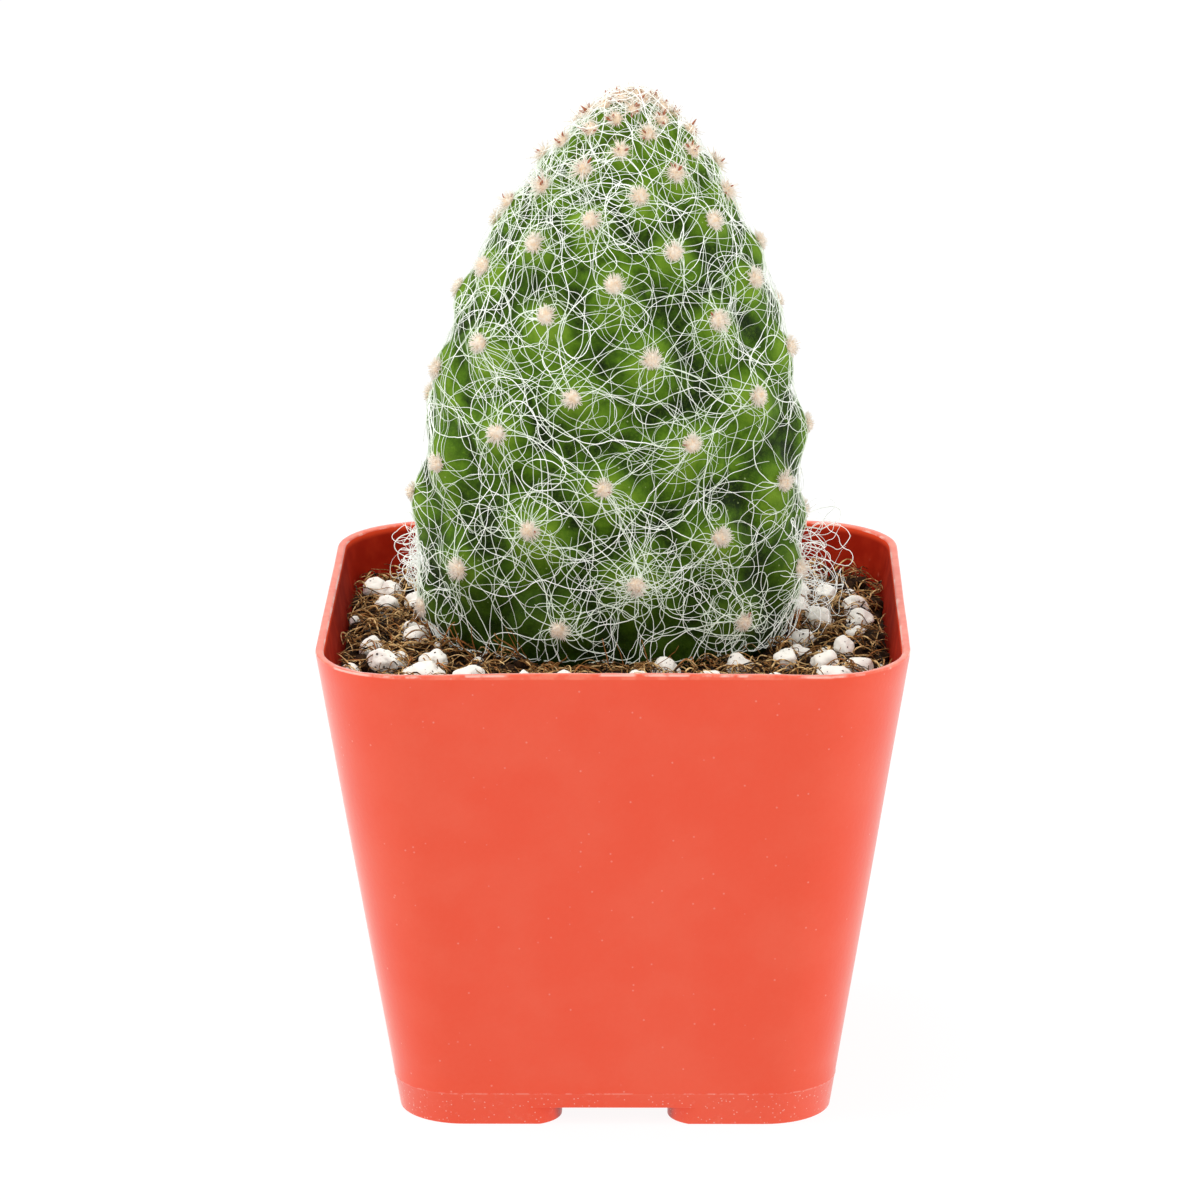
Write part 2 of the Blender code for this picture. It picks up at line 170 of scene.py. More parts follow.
HAIR_BY_HEIGHT = ((50 * MM, 1.3), (58 * MM, 1.12), (64 * MM, 0.95), (82 * MM, 0.9), (92 * MM, 0.92))
HAIR_TO_RIGHT = 0.08
HAIR_TO_SIDES = 0.35
HAIR_PATCH = 11 * MM
HAIR_PATCHINESS = 0.9
LOCK_SIZES = (1, 1, 2, 3, 5)
CURLS = (0.3, 1.3)
TIGHT_CURLS = (1.5, 2.6)
TIGHT_SHARE_LOW = 0.6
TIGHT_SHARE = 0.1
TANGLE_REACH = {-1: 1.0 * MM, 1: 3.4 * MM}
TANGLE_CURL = 850
TANGLE_HEIGHTS = (52.5 * MM, 60.5 * MM)
TANGLE_PULL = 0.13
SCALES_LEFT_OUT = 0.8
SCALE_LENGTHS = (0.35 * MM, 0.6 * MM)
SCALE_RADII = (0.12 * MM, 0.2 * MM)
SCALE_TIP = 0.2

# Soil: steps along each side and from the wall to the plant, and the coir's wander
SOIL_SIDE_STEPS = 70
SOIL_SPOKE_STEPS = 58
SOIL_CENTRE = 0.36
SOIL_SINK = 1.1 * MM
SOIL_DIP = 0.5 * MM
BACK_GRAINS = 14
GRAIN_WIDTHS = (2.2 * MM, 3.8 * MM)
CHIP_WIDTHS = (0.8 * MM, 1.9 * MM)
CRUMB_WIDTHS = (0.7 * MM, 2.4 * MM)
FIBRE_TIP = 0.5
FIBRE_PIECES = (5, 11)
FIBRE_STEP = 0.42 * MM
FIBRE_CURL = 420
FIBRE_CHANGE = 160

# Perlite that shows from the front, in millimetres: across, back, width
SHOWN_GRAINS = (
    (-25.7, 17.7, 3.2),
    (-25.6, 12.4, 2.8),
    (-22.4, 14.6, 3.4),
    (-27.6, 20.4, 2.8),
    (-22.6, 4.6, 2.4),
    (-22.0, 0.3, 2.8),
    (-19.5, -9.4, 3.0),
    (-20.4, -14.6, 4.2),
    (-23.8, -6.4, 2.4),
    (-25.0, -11.6, 3.2),
    (-15.6, -16.4, 3.0),
    (-9.6, -17.2, 2.4),
    (5.7, -12.4, 3.4),
    (2.6, -16.2, 2.6),
    (10.4, -16.6, 2.8),
    (23.5, 16.4, 2.8),
    (26.6, 12.0, 3.2),
    (22.6, 6.6, 3.2),
    (27.2, 5.4, 3.2),
    (20.6, -0.4, 2.6),
    (26.4, 0.6, 2.6),
    (20.2, -5.4, 2.8),
    (25.0, -5.6, 2.8),
    (18.6, -10.6, 2.6),
    (22.9, -10.2, 3.2),
    (26.4, -11.4, 3.4),
    (23.6, -15.6, 3.6),
    (17.6, -16.8, 2.8),
)

# Stage: the floor, and each softbox's place, width, height and watts
FLOOR_HALF = 6.0
LIT_POINT = (0.0, 0.0, 0.06)
SOFTBOXES = {
    "top": ((-0.25, 0.0, 0.9), 0.6, 0.6, 4.0),
    "left": ((-0.9, -0.2, 0.35), 0.4, 0.6, 1.7),
    "right": ((0.9, -0.2, 0.3), 0.4, 0.6, 2.2),
}


def srgb(red, green, blue):
    """A colour given in everyday 0 to 255 values, as a shader takes it."""
    return tuple(((c / 255 + 0.055) / 1.055) ** 2.4 for c in (red, green, blue))


def size(name, description, default):
    """A length that the user can change."""
    return FloatProperty(
        name=name, description=description, default=default, min=0.0, precision=5, unit="LENGTH"
    )


def amount(name, description, default):
    """A plain number that the user can change."""
    return FloatProperty(name=name, description=description, default=default, min=0.0)


def count(name, description, default):
    """A number of repeats that the user can change."""
    return IntProperty(name=name, description=description, default=default, min=1)


def tint(name, description, *everyday):
    """A colour that the user can change."""
    return FloatVectorProperty(
        name=name,
        description=description,
        default=srgb(*everyday),
        min=0.0,
        max=1.0,
        size=3,
        subtype="COLOR",
    )


def location(name, description, *where):
    """A place that the user can change."""
    return FloatVectorProperty(
        name=name, description=description, default=where, size=3, subtype="TRANSLATION", unit="LENGTH"
    )


class PotSettings(PropertyGroup):
    """The moulded pot."""

    wall: size("Wall", "Thickness of the plastic", 0.85 * MM)
    floor: size("Floor", "Height of the inside floor", 2.85 * MM)
    seam_height: size("Seam height", "Where the mould's two halves met", 3.7 * MM)
    seam_width: size("Seam width", "Width of the mould line", 0.16 * MM)
    seam_rise: size("Seam rise", "How far the mould line stands proud", 0.06 * MM)
    rim_wear: size("Rim wear", "How ragged the rim's edge is", 0.07 * MM)
    rim_bow: size("Rim bow", "How far the front of the rim arches up", 0.5 * MM)
    plastic: tint("Plastic", "Salmon orange of the wall", 238, 74, 38)
    # This paler orange serves the plastic's own patches and scuffs, and also the painted highlight on the
    # rim.
    bright: tint("Bright plastic", "Paler orange where the wall is rubbed", 250, 132, 104)
    # Painted shade: this dark red stands in for the shade inside the pot and at the ends of its feet.
    deep: tint("Deep plastic", "Dark red of the shaded inside", 156, 26, 1)
    # This pale colour serves the specks and also the painted highlight under the rim's edge.
    dust_and_glint: tint("Dust", "Specks of white dust", 255, 214, 200)


class SoilSettings(PropertyGroup):
    """Coir, peat and perlite."""

    level: size("Level", "Height of the soil's surface", 48.0 * MM)
    relief: size("Relief", "Height of its lumps", 1.3 * MM)
    crumb: size("Lump size", "Distance between its lumps", 3.2 * MM)
    grit: size("Grit", "Height of its finest relief", 0.5 * MM)
    crumbs: count("Crumbs", "Loose crumbs of peat", 420)
    fibres: count("Fibres", "Strands of coir", 2900)
    fibre_radius: size("Fibre radius", "Half the width of a coir strand", 0.078 * MM)
    risers: count("Risers", "Strands that stand up beside the plant", 50)
    chips: count("Chips", "Small chips of perlite", 34)
    peat: tint("Peat", "Dark crumbs", 24, 15, 8)
    loam: tint("Loam", "Lighter crumbs", 78, 50, 27)
    coir: tint("Coir", "Tan strands", 248, 208, 146)
    bark: tint("Bark", "Brown strands", 152, 106, 54)
    rust: tint("Rust", "Reddish strands at the plant's foot", 190, 118, 64)
    perlite: tint("Perlite", "White grains", 252, 247, 238)
    pit: tint("Pits", "Dark pits in the grains", 52, 42, 34)


class PadSettings(PropertyGroup):
    """The plant's skin."""

    wrinkle: size("Wrinkle", "Height of the skin's fine relief", 0.12 * MM)
    # Painted shade: the dark green of the grooves and of the skin towards the soil, also some random darker
    # tone.
    groove_shade: tint("Groove", "Deep green between the tubercles", 20, 38, 1)
    flesh: tint("Flesh", "Green of the tubercles' sides", 74, 112, 12)
    # Partly painted light: paler tubercle tops; it also colours the veins and the skin round each areole.
    crown: tint("Crown", "Paler green on top of the tubercles", 130, 166, 46)
    speck: tint("Specks", "Tiny pale pores", 196, 214, 150)


class SpineSettings(PropertyGroup):
    """Tufts and hair."""

    bristles: count("Bristles", "Bristles in a full tuft", 200)
    bristle_length: size("Bristle length", "Length of a tuft's usual bristles", 1.06 * MM)
    bristle_radius: size("Bristle radius", "Half the width of a bristle", 0.06 * MM)
    hair_cover: amount("Hair cover", "Metres of hair on each square metre of skin", 4350)
    hair_length: size("Hair length", "Length of a usual hair", 34 * MM)
    hair_radius: size("Hair radius", "Half the width of a hair at its root", 0.057 * MM)
    hair_step: size("Hair step", "Length of one straight piece of hair", 0.45 * MM)
    hair_curl: amount("Hair curl", "How sharply a usual hair bends, per metre", 300)
    # Painted light: a glow on the hair, though no lamp lights it.
    hair_painted_glow: amount("Hair glow", "Light that passes through the hair", 0.28)
    hair_crook: amount("Hair crook", "Angle between its straight pieces", 0.09)
    tangles: count("Tangles", "Loose hairs beside each side of the pad's foot", 28)
    cream: tint("Cream", "Bristles", 253, 243, 229)
    peach: tint("Peach", "Heart of a tuft", 246, 219, 184)
    scale: tint("Dry scales", "Dried leaves beside the tufts", 172, 92, 50)
    straw: tint("Straw", "Tips of the dried leaves", 214, 156, 112)
    white: tint("White", "Hair on top", 252, 254, 249)
    # Painted shade: the duller, greener white of hair close to the skin, with green reflected from it.
    shaded_white: tint("Dull white", "Hair close to the skin", 206, 221, 192)


class StageSettings(PropertyGroup):
    """Floor, lights and camera."""

    camera_place: location("Camera place", "Where the camera stands", 0.008, -0.6069, 0.2262)
    camera_target: location("Camera target", "The point in the picture's middle", -0.00166, 0.0, 0.05246)
    camera_roll: FloatProperty(
        name="Camera roll",
        description="Turn of the camera about its view",
        default=math.radians(-0.268),
        subtype="ANGLE",
        unit="ROTATION",
    )
    lens: amount("Lens", "Focal length in millimetres on a 36 mm sensor", 172.1)
    sky: amount("Sky", "Brightness of the surroundings as light", 0.75)
    floor: tint("Floor", "Pale floor", 90, 90, 90)
    floor_glow: amount("Floor glow", "Light that the floor gives off", 0.92)


class Signal:
    """A number that runs through a material's nodes, used in ordinary arithmetic."""

    def __init__(self, finish, socket):
        self.finish = finish
        self.socket = socket

    def __add__(self, other):
        return self.finish.maths("ADD", self, other)

    def __radd__(self, other):
        return self.finish.maths("ADD", other, self)

    def __sub__(self, other):
        return self.finish.maths("SUBTRACT", self, other)

    def __rsub__(self, other):
        return self.finish.maths("SUBTRACT", other, self)

    def __mul__(self, other):
        return self.finish.maths("MULTIPLY", self, other)

    def __rmul__(self, other):
        return self.finish.maths("MULTIPLY", other, self)


class Finish:
    """A material under construction, with short ways to add its nodes."""

    def __init__(self, name):
        self.material = bpy.data.materials.new(name)
        self.material.use_nodes = True
        self.tree = self.material.node_tree
        self.shader = self.tree.nodes["Principled BSDF"]
        self.place = self.node("ShaderNodeTexCoord").outputs["Object"]

    def node(self, kind, settings=(), sockets=()):
        """A node of any type: its settings first, then the values or links of its sockets."""
        made = self.tree.nodes.new(kind)
        for name, value in dict(settings).items():
            setattr(made, name, value)
        for name, value in dict(sockets).items():
            self.feed(made.inputs[name], value)
        return made

    def feed(self, socket, value):
        """Link a socket, or set its value."""
        value = value.socket if isinstance(value, Signal) else value
        if isinstance(value, NodeSocket):
            self.tree.links.new(value, socket)
        elif socket.type == "RGBA":
            socket.default_value = (*value, 1.0)
        else:
            socket.default_value = value

    def surface(self, **sockets):
        """Values or links of the surface shader, by socket name with _ for each space."""
        for name, value in sockets.items():
            self.feed(self.shader.inputs[name.replace("_", " ")], value)

    def maths(self, operation, *values):
        """A Math node."""
        made = self.node("ShaderNodeMath", {"operation": operation}, enumerate(values))
        return Signal(self, made.outputs[0])

    def step(self, value, low, high):
        """0 below low and 1 above high, smooth between them."""
        ends = {"Value": value, "From Min": low, "From Max": high}
        made = self.node("ShaderNodeMapRange", {"interpolation_type": "SMOOTHSTEP"}, ends)
        return Signal(self, made.outputs[0])

    def mix(self, factor, first, second):
        """One colour turned into another."""
        made = self.node("ShaderNodeMix", {"data_type": "RGBA"}, {0: factor, 6: first, 7: second})
        return made.outputs[2]

    def clouds(self, width, detail=2.0, rough=0.5, twist=0.0):
        """Soft noise whose patches are about this wide."""
        sockets = {"Vector": self.place, "Scale": 1 / width, "Detail": detail}
        sockets.update({"Roughness": rough, "Distortion": twist})
        return Signal(self, self.node("ShaderNodeTexNoise", {}, sockets).outputs[0])

    def spots(self, width, edge, chance):
        """Round spots in some cells of a pattern, by their soft edge and the cells' random numbers."""
        cells = self.node("ShaderNodeTexVoronoi", {}, {"Vector": self.place, "Scale": 1 / width})
        parts = self.node("ShaderNodeSeparateColor", {}, {0: cells.outputs["Color"]})
        away, drawn = Signal(self, cells.outputs["Distance"]), Signal(self, parts.outputs[0])
        return (1 - self.step(away, *edge)) * self.step(drawn, *chance)

    def attribute(self, name):
        """A number kept with the mesh."""
        made = self.node("ShaderNodeAttribute", {"attribute_name": name})
        return Signal(self, made.outputs["Fac"])

    def axis(self, index):
        """One coordinate of the object's own place."""
        made = self.node("ShaderNodeSeparateXYZ", {}, {0: self.place})
        return Signal(self, made.outputs[index])

    def bump(self, height, distance):
        """Fine relief, fed to the surface's normal."""
        made = self.node("ShaderNodeBump", {}, {"Height": height, "Distance": distance})
        self.feed(self.shader.inputs["Normal"], made.outputs[0])


def inner_finish(settings):
    """The pot's inside: rough, its dark red a painted shade, with a few pale spots, and as bright as the
    rim at its top.
    """
    finish = Finish("painted_shade_plastic")
    rim = finish.step(finish.axis(2), POT_HIGH.z - 1.0 * MM, POT_HIGH.z - 0.3 * MM)
    spots = finish.spots(1.3 * MM, (0.1, 0.3), (0.7, 0.8))
    stain = finish.step(finish.clouds(3 * MM, 3.0), 0.35, 0.7)
    # Painted shade: the inside is painted dark red, lifted at random towards the plastic's own colour.
    colour = finish.mix(stain * 0.2, settings.deep, settings.plastic)
    colour = finish.mix(spots * 0.2, colour, settings.bright)
    colour = finish.mix(rim, colour, settings.plastic)
    finish.surface(Base_Color=colour, Roughness=0.8, Specular_IOR_Level=0.08)
    finish.bump(spots + stain * 0.5, 0.03 * MM)
    return finish.material


def plastic_finish(settings):
    """Satin moulded plastic: soft mottling, white specks, a scuffed foot band, a pale rim painted as a
    ragged highlight, and painted shade at the ends of the feet.
    """
    finish = Finish("salmon_plastic")
    up = finish.axis(2)
    patches = finish.step(finish.clouds(9 * MM, 3.0), 0.35, 0.7)
    grain = finish.clouds(0.5 * MM, 2.0)
    rim = finish.step(up, POT_HIGH.z - 0.28 * MM, POT_HIGH.z - 0.1 * MM)
    ragged = finish.step(finish.clouds(1.6 * MM, 3.0), 0.42, 0.6)
    foot = 1 - finish.step(up, settings.seam_height - 0.1 * MM, settings.seam_height + 0.1 * MM)
    scuffs = finish.step(finish.clouds(0.9 * MM, 4.0, 0.7), 0.55, 0.72)
    below = finish.attribute("below_rim")
    # Painted highlight: a broken pale line just below the rim's outer edge.
    rubbed_and_painted_glint = finish.step(finish.clouds(4 * MM, 4.0, 0.6), 0.46, 0.56)
    edge = finish.step(below, 0.05, 0.12) * (1 - finish.step(below, 0.26, 0.36)) * rubbed_and_painted_glint
    dust_and_glint = finish.spots(1.1 * MM, (0.05, 0.14), (0.66, 0.72))
    foot_dust = finish.spots(0.42 * MM, (0.12, 0.24), (0.48, 0.52)) * foot
    off_seam = finish.maths("ABSOLUTE", up - settings.seam_height)
    broken = finish.step(finish.clouds(0.7 * MM, 3.0), 0.42, 0.6)
    seam = (1 - finish.step(off_seam, 0.04 * MM, 0.12 * MM)) * broken
    # Painted highlight: the rim terms make the rim's top paler, broken up raggedly; the patches, grain and
    # foot scuffs are the plastic's own tone and wear.
    pale = patches * 0.1 + grain * 0.08 + rim * ragged * 0.4 + rim * 0.27 + foot * scuffs * 0.16
    colour = finish.mix(pale, settings.plastic, settings.bright)
    # Painted shade: the ends of the feet, well inside the wall's outline, are painted dark red.
    shade = finish.step(finish.attribute("depth"), 1.1, 2.4) * foot
    colour = finish.mix(shade * 0.85, colour, settings.deep)
    # Specks, the mould line and the painted highlight under the rim's edge, in one pale colour.
    colour = finish.mix(dust_and_glint * 0.22 + foot_dust * 0.45 + seam * 0.2 + edge * 0.65, colour, settings.dust_and_glint)
    finish.surface(
        Base_Color=colour,
        Roughness=0.38 + grain * 0.1 + foot * 0.12,
        Specular_IOR_Level=0.35,
        Sheen_Weight=0.62,
        Sheen_Roughness=0.42,
        Subsurface_Weight=0.12,
        Subsurface_Radius=(1.0, 0.25, 0.12),
        Subsurface_Scale=1.2 * MM,
    )
    finish.bump(grain * 0.4 + scuffs * foot * 0.8 + (dust_and_glint + foot_dust) * 0.6, 0.03 * MM)
    return finish.material


def soil_finish(name, dark, light):
    """Dull crumbs between two browns."""
    finish = Finish(name)
    lumps = finish.step(finish.clouds(1.4 * MM, 4.0, 0.65), 0.35, 0.68)
    grit = finish.clouds(0.25 * MM, 3.0, 0.7)
    finish.surface(
        Base_Color=finish.mix(lumps * 0.75 + grit * 0.3, dark, light),
        Roughness=0.95,
        Specular_IOR_Level=0.2,
    )
    finish.bump(grit + lumps, 0.15 * MM)
    return finish.material


def fibre_finish(name, light, dark):
    """A plant strand, paler and darker along its length."""
    finish = Finish(name)
    streaks = finish.step(finish.clouds(0.8 * MM, 3.0, 0.6), 0.42, 0.58)
    finish.surface(Base_Color=finish.mix(streaks, light, dark), Roughness=0.8, Specular_IOR_Level=0.3)
    finish.bump(finish.clouds(0.15 * MM, 2.0), 0.03 * MM)
    return finish.material


def perlite_finish(settings):
    """White expanded grains with greyed hollows, small dark pits and a faint painted glow."""
    finish = Finish("white_perlite")
    stain = finish.step(finish.clouds(4.0 * MM, 3.0), 0.58, 0.76)
    pits = finish.spots(0.8 * MM, (0.14, 0.22), (0.62, 0.66))
    fine = finish.spots(0.36 * MM, (0.14, 0.26), (0.78, 0.82))
    colour = finish.mix(stain * 0.3, settings.perlite, settings.loam)
    colour = finish.mix(pits * 0.9 + fine * 0.6, colour, settings.pit)
    finish.surface(
        Base_Color=colour,
        Roughness=0.85,
        Specular_IOR_Level=0.3,
        # Painted light: the grains glow a little.
        Emission_Color=colour,
        Emission_Strength=0.08,
    )
    finish.bump(finish.clouds(0.4 * MM, 3.0, 0.6) * 0.5 - pits * 2 - fine, 0.06 * MM)
    return finish.material


def skin_finish(settings):
    """Waxy green skin: pale tubercle tops as painted light, dark grooves and a darker foot as painted
    shade, random tone, faint veins and pores.
    """
    finish = Finish("green_skin")
    mound = finish.attribute("mound")
    near = finish.attribute("areole_distance")
    patches = finish.clouds(6 * MM, 3.0, 0.55)
    blots = finish.clouds(2.4 * MM, 3.0, 0.55, 0.8)
    mottle = finish.clouds(1.2 * MM, 4.0, 0.6, 0.4)
    streaks = finish.step(finish.clouds(0.45 * MM, 3.0, 0.6, 1.5), 0.45, 0.75)
    pores = finish.spots(0.9 * MM, (0.07, 0.15), (0.6, 0.64))
    # The mound paints light on the tubercle tops and shade in the grooves; the clouds add tone that differs
    # at random.
    relief = mound * 0.65 + (patches - 0.5) * 1.7 + (blots - 0.5) * 0.85 + (mottle - 0.5) * 0.6 + 0.09
    side = finish.step(relief, -0.2, 0.45)
    top = finish.step(relief, 0.2, 1.05)
    colour = finish.mix(side, settings.groove_shade, settings.flesh)
    colour = finish.mix(top * 0.85, colour, settings.crown)
    colour = finish.mix(streaks * 0.18, colour, settings.crown)
    halo = (1 - finish.step(near, 1.0, 3.0)) * 0.3
    colour = finish.mix(halo, colour, settings.crown)
    colour = finish.mix(pores * 0.5, colour, settings.speck)
    # Painted shade: darker towards the soil.
    low = 1 - finish.step(finish.axis(2), 50 * MM, 66 * MM)
    colour = finish.mix(low * 0.66, colour, settings.groove_shade)
    finish.surface(
        Base_Color=colour,
        Roughness=0.5 + mottle * 0.14,
        Specular_IOR_Level=0.1,
        Subsurface_Weight=0.1,
        Subsurface_Radius=(0.6, 1.0, 0.2),
        Subsurface_Scale=0.8 * MM,
    )
    finish.bump(mottle + streaks * 0.3 + pores * 0.5, 0.08 * MM)
    return finish.material


def bristle_finish(name, root, tip, painted_glow):
    """A dense tuft: deeper at the foot of the bristles, paler towards their tips, with a faint painted
    glow.
    """
    finish = Finish(name)
    along = finish.attribute("along")
    flecks = finish.clouds(0.5 * MM, 2.0)
    finish.surface(
        Base_Color=finish.mix(finish.step(along + (flecks - 0.5) * 1.1, 0.35, 0.95), root, tip),
        Roughness=0.6,
        Sheen_Weight=0.2,
        # Painted light: a faint glow in the tips' colour.
        Emission_Color=tip,
        Emission_Strength=painted_glow,
    )
    finish.bump(finish.clouds(0.12 * MM, 2.0), 0.06 * MM)
    return finish.material


def hair_finish(settings):
    """White hair with a painted glow, duller and greener close to the skin as painted shade and green
    reflection.
    """
    finish = Finish("white_hair")
    raised = finish.step(finish.attribute("raised") + finish.clouds(1.5 * MM, 2.0) * 0.6, 0.3, 0.8)
    finish.surface(
        Base_Color=finish.mix(raised, settings.shaded_white, settings.white),
        Roughness=0.42,
        IOR=1.5,
        # Painted light: the hair glows in its own white.
        Emission_Color=settings.white,
        Emission_Strength=settings.hair_painted_glow,
    )
    return finish.material


def floor_finish(settings):
    """A plain pale floor that glows a little, like a light table."""
    finish = Finish("pale_floor")
    finish.surface(
        Base_Color=settings.floor,
        Roughness=0.9,
        Specular_IOR_Level=0.1,
        Emission_Color=(1.0, 1.0, 1.0),
        Emission_Strength=settings.floor_glow,
    )
    return finish.material


def evaluated_mesh(made):
    """The object's mesh with its modifiers and curve settings applied."""
    bpy.context.view_layer.update()
    graph = bpy.context.evaluated_depsgraph_get()
    return bpy.data.meshes.new_from_object(made.evaluated_get(graph))


def helper(name, bm):
    """A helper object from a bmesh, outside the finished pieces."""
    mesh = bpy.data.meshes.new(name)
    bm.to_mesh(mesh)
    bm.free()
    return bpy.data.objects.new(name, mesh)


def finished(name, mesh, materials, slot, *nodes):
    """A finished piece that rides on the body and stands for the nodes."""
    mesh.name = name
    mesh.materials.clear()
    for material in materials:
        mesh.materials.append(material)
    mesh.shade_smooth()
    piece = bpy.data.objects.new(name, mesh)
    bpy.context.scene.collection.objects.link(piece)
    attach(piece, BODY)
    if nodes:
        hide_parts(*nodes)
    return piece


def closed_mesh(bm):
    """A mesh from a bmesh, its seams merged and its faces turned outwards."""
    bmesh.ops.remove_doubles(bm, verts=bm.verts, dist=MERGE)
    bmesh.ops.recalc_face_normals(bm, faces=bm.faces)
    mesh = bpy.data.meshes.new("closed")
    bm.to_mesh(mesh)
    bm.free()
    return mesh


def mark(mesh, name, values):
    """Keep a number for each point of a mesh."""
    kept = mesh.attributes.new(name, "FLOAT", "POINT")
    kept.data.foreach_set("value", np.array(values, dtype=np.float32))


def cut(target, cutters):
    """A mesh less all its cutters."""
    home = bpy.data.collections.new("cutters")
    bpy.context.scene.collection.children.link(home)
    bpy.context.scene.collection.objects.link(target)
    for cutter in cutters:
        home.objects.link(cutter)
    modifier = target.modifiers.new("cut", "BOOLEAN")
    modifier.operation = "DIFFERENCE"
    modifier.operand_type = "COLLECTION"
    modifier.collection = home
    result = evaluated_mesh(target)
    for used in (target, *cutters):
        bpy.data.objects.remove(used)
    bpy.data.collections.remove(home)
    return result


def rounded(bm, geom, radius, steps, affect):
    """Round off edges or corners."""
    bmesh.ops.bevel(
        bm,
        geom=geom,
        offset=radius,
        offset_type="OFFSET",
        segments=steps,
        profile=0.5,
        affect=affect,
        material=-1,
    )


def rounded_face(bm, low, high, radii, height, steps):
    """A flat face between two corners in plan, each of its corners rounded by its own radius."""
    middle = (Vector(low) + Vector(high)) / 2
    half = (high[0] - low[0]) / 2
    place = Matrix.Translation((middle.x, middle.y, height))
    corners = bmesh.ops.create_grid(bm, x_segments=1, y_segments=1, size=half, matrix=place)["verts"]
    for radius in set(radii) - {0}:
        alike = [corner for corner, own in zip(corners, radii) if own == radius]
        rounded(bm, alike, radius, steps, "VERTICES")
    return bm.faces[:][-1]


def prism(name, low, high, radii, bottom, top):
    """A block with rounded uprights."""
    bm = bmesh.new()
    face = rounded_face(bm, low, high, radii, bottom, CORNER_STEPS)
    raised = bmesh.ops.extrude_face_region(bm, geom=[face])["geom"]
    verts = [part for part in raised if isinstance(part, bmesh.types.BMVert)]
    bmesh.ops.translate(bm, verts=verts, vec=(0, 0, top - bottom))
    bmesh.ops.recalc_face_normals(bm, faces=bm.faces)
    return helper(name, bm)


def pot_half(height):
    """Half the pot's outside width at a height."""
    up = height / POT_HIGH.z
    return POT_HIGH.x * (BASE_SHARE + (1 - BASE_SHARE) * up)


def pot_corner(height):
    """The pot's outside corner radius at a height."""
    up = height / POT_HIGH.z
    return POT_HIGH.x * (BASE_CORNER_SHARE + (TOP_CORNER_SHARE - BASE_CORNER_SHARE) * up)


def pot_loop(bm, height, inset, side_steps=SIDE_STEPS):
    """One open loop of the pot's section, with its straight sides divided."""
    half = pot_half(height) - inset
    corner = pot_corner(height) - inset
    face = rounded_face(bm, (-half, -half), (half, half), [corner] * 4, height, CORNER_STEPS)
    edges = list(face.edges)
    bmesh.ops.delete(bm, geom=[face], context="FACES_ONLY")
    sides = [edge for edge in edges if edge.calc_length() > corner]
    made = bmesh.ops.subdivide_edges(bm, edges=sides, cuts=side_steps - 1)["geom"]
    return list({*edges, *(part for part in made if isinstance(part, bmesh.types.BMEdge))})


def bridged(bm, loops):
    """Walls between loops that follow each other."""
    for lower, upper in zip(loops, loops[1:]):
        bmesh.ops.bridge_loops(bm, edges=lower + upper)


def pot_shell(settings):
    """The pot before its channels are cut: walls, rim, mould line and inside."""
    bm = bmesh.new()
    seam, width, top = settings.seam_height, settings.seam_width, POT_HIGH.z
    stations = (
        (0.0, 0.0),
        (seam - width, 0.0),
        (seam, -settings.seam_rise),
        (seam + width, 0.0),
        (top, 0.0),
        (top - RIM_SLOPE, settings.wall),
        (settings.floor, settings.wall),
    )
    bridged(bm, [pot_loop(bm, height, inset) for height, inset in stations])
    bmesh.ops.holes_fill(bm, edges=bm.edges, sides=0)
    rim = [edge for edge in bm.edges if all(v.co.z > top - 2 * RIM_SLOPE for v in edge.verts)]
    rim = [edge for edge in rim if abs(edge.calc_face_angle(0.0)) > 1]
    rounded(bm, rim, RIM_ROUNDING, 3, "EDGES")
    walls = [edge for edge in bm.edges if edge.calc_length() > 0.8 * (top - seam)]
    walls = [edge for edge in walls if abs(edge.verts[0].co.z - edge.verts[1].co.z) > top / 2]
    bmesh.ops.subdivide_edges(bm, edges=walls, cuts=WALL_RINGS, use_grid_fill=True)
    bmesh.ops.recalc_face_normals(bm, faces=bm.faces)
    return helper("pot shell", bm)


def pot_cutters(settings):
    """The cross of channels, the foot hollows and the drain holes."""
    edge = pot_half(CHANNEL_HEIGHT) + FOOT_PROUD
    reach = edge + CUT_REACH
    slab = prism("channels", (-reach, -reach), (reach, reach), [0] * 4, -CUT_REACH, CHANNEL_HEIGHT)
    feet = []
    cutters = []
    wall, floor = settings.wall, settings.floor
    well_far = pot_half(0.0) - wall - WELL_INSET
    well_radii = [FOOT_CORNER - wall] * 3 + [pot_corner(0.0) - wall]
    for quarter in range(4):
        turn = Matrix.Rotation(math.radians(90 * quarter), 4, "Z")
        near = CHANNEL_HALF
        foot_radii = [FOOT_CORNER] * 3 + [0]
        foot = prism("foot", (near, near), (edge, edge), foot_radii, -2 * CUT_REACH, 2 * CUT_REACH)
        near += wall
        well = prism("well", (near, near), (well_far, well_far), well_radii, wall, floor + MM)
        for block, group in ((foot, feet), (well, cutters)):
            block.data.transform(turn)
            group.append(block)
    cutters.append(bpy.data.objects.new("channels", cut(slab, feet)))
    for x, y in ((0, 0), (1, 0), (0, 1), (-1, 0), (0, -1)):
        bm = bmesh.new()
        bmesh.ops.create_cone(
            bm,
            cap_ends=True,
            segments=DRAIN_SIDES,
            radius1=DRAIN_RADIUS,
            radius2=DRAIN_RADIUS,
            depth=2 * CUT_REACH,
            matrix=Matrix.Translation((x * DRAIN_OFFSET, y * DRAIN_OFFSET, floor)),
        )
        cutters.append(helper("drain", bm))
    return cutters


def depth_inside(x, y, half, corner):
    """How deep a place lies inside a square with rounded corners, no more than the corner's radius."""
    return corner - math.hypot(max(abs(x) - half + corner, 0.0), max(abs(y) - half + corner, 0.0))


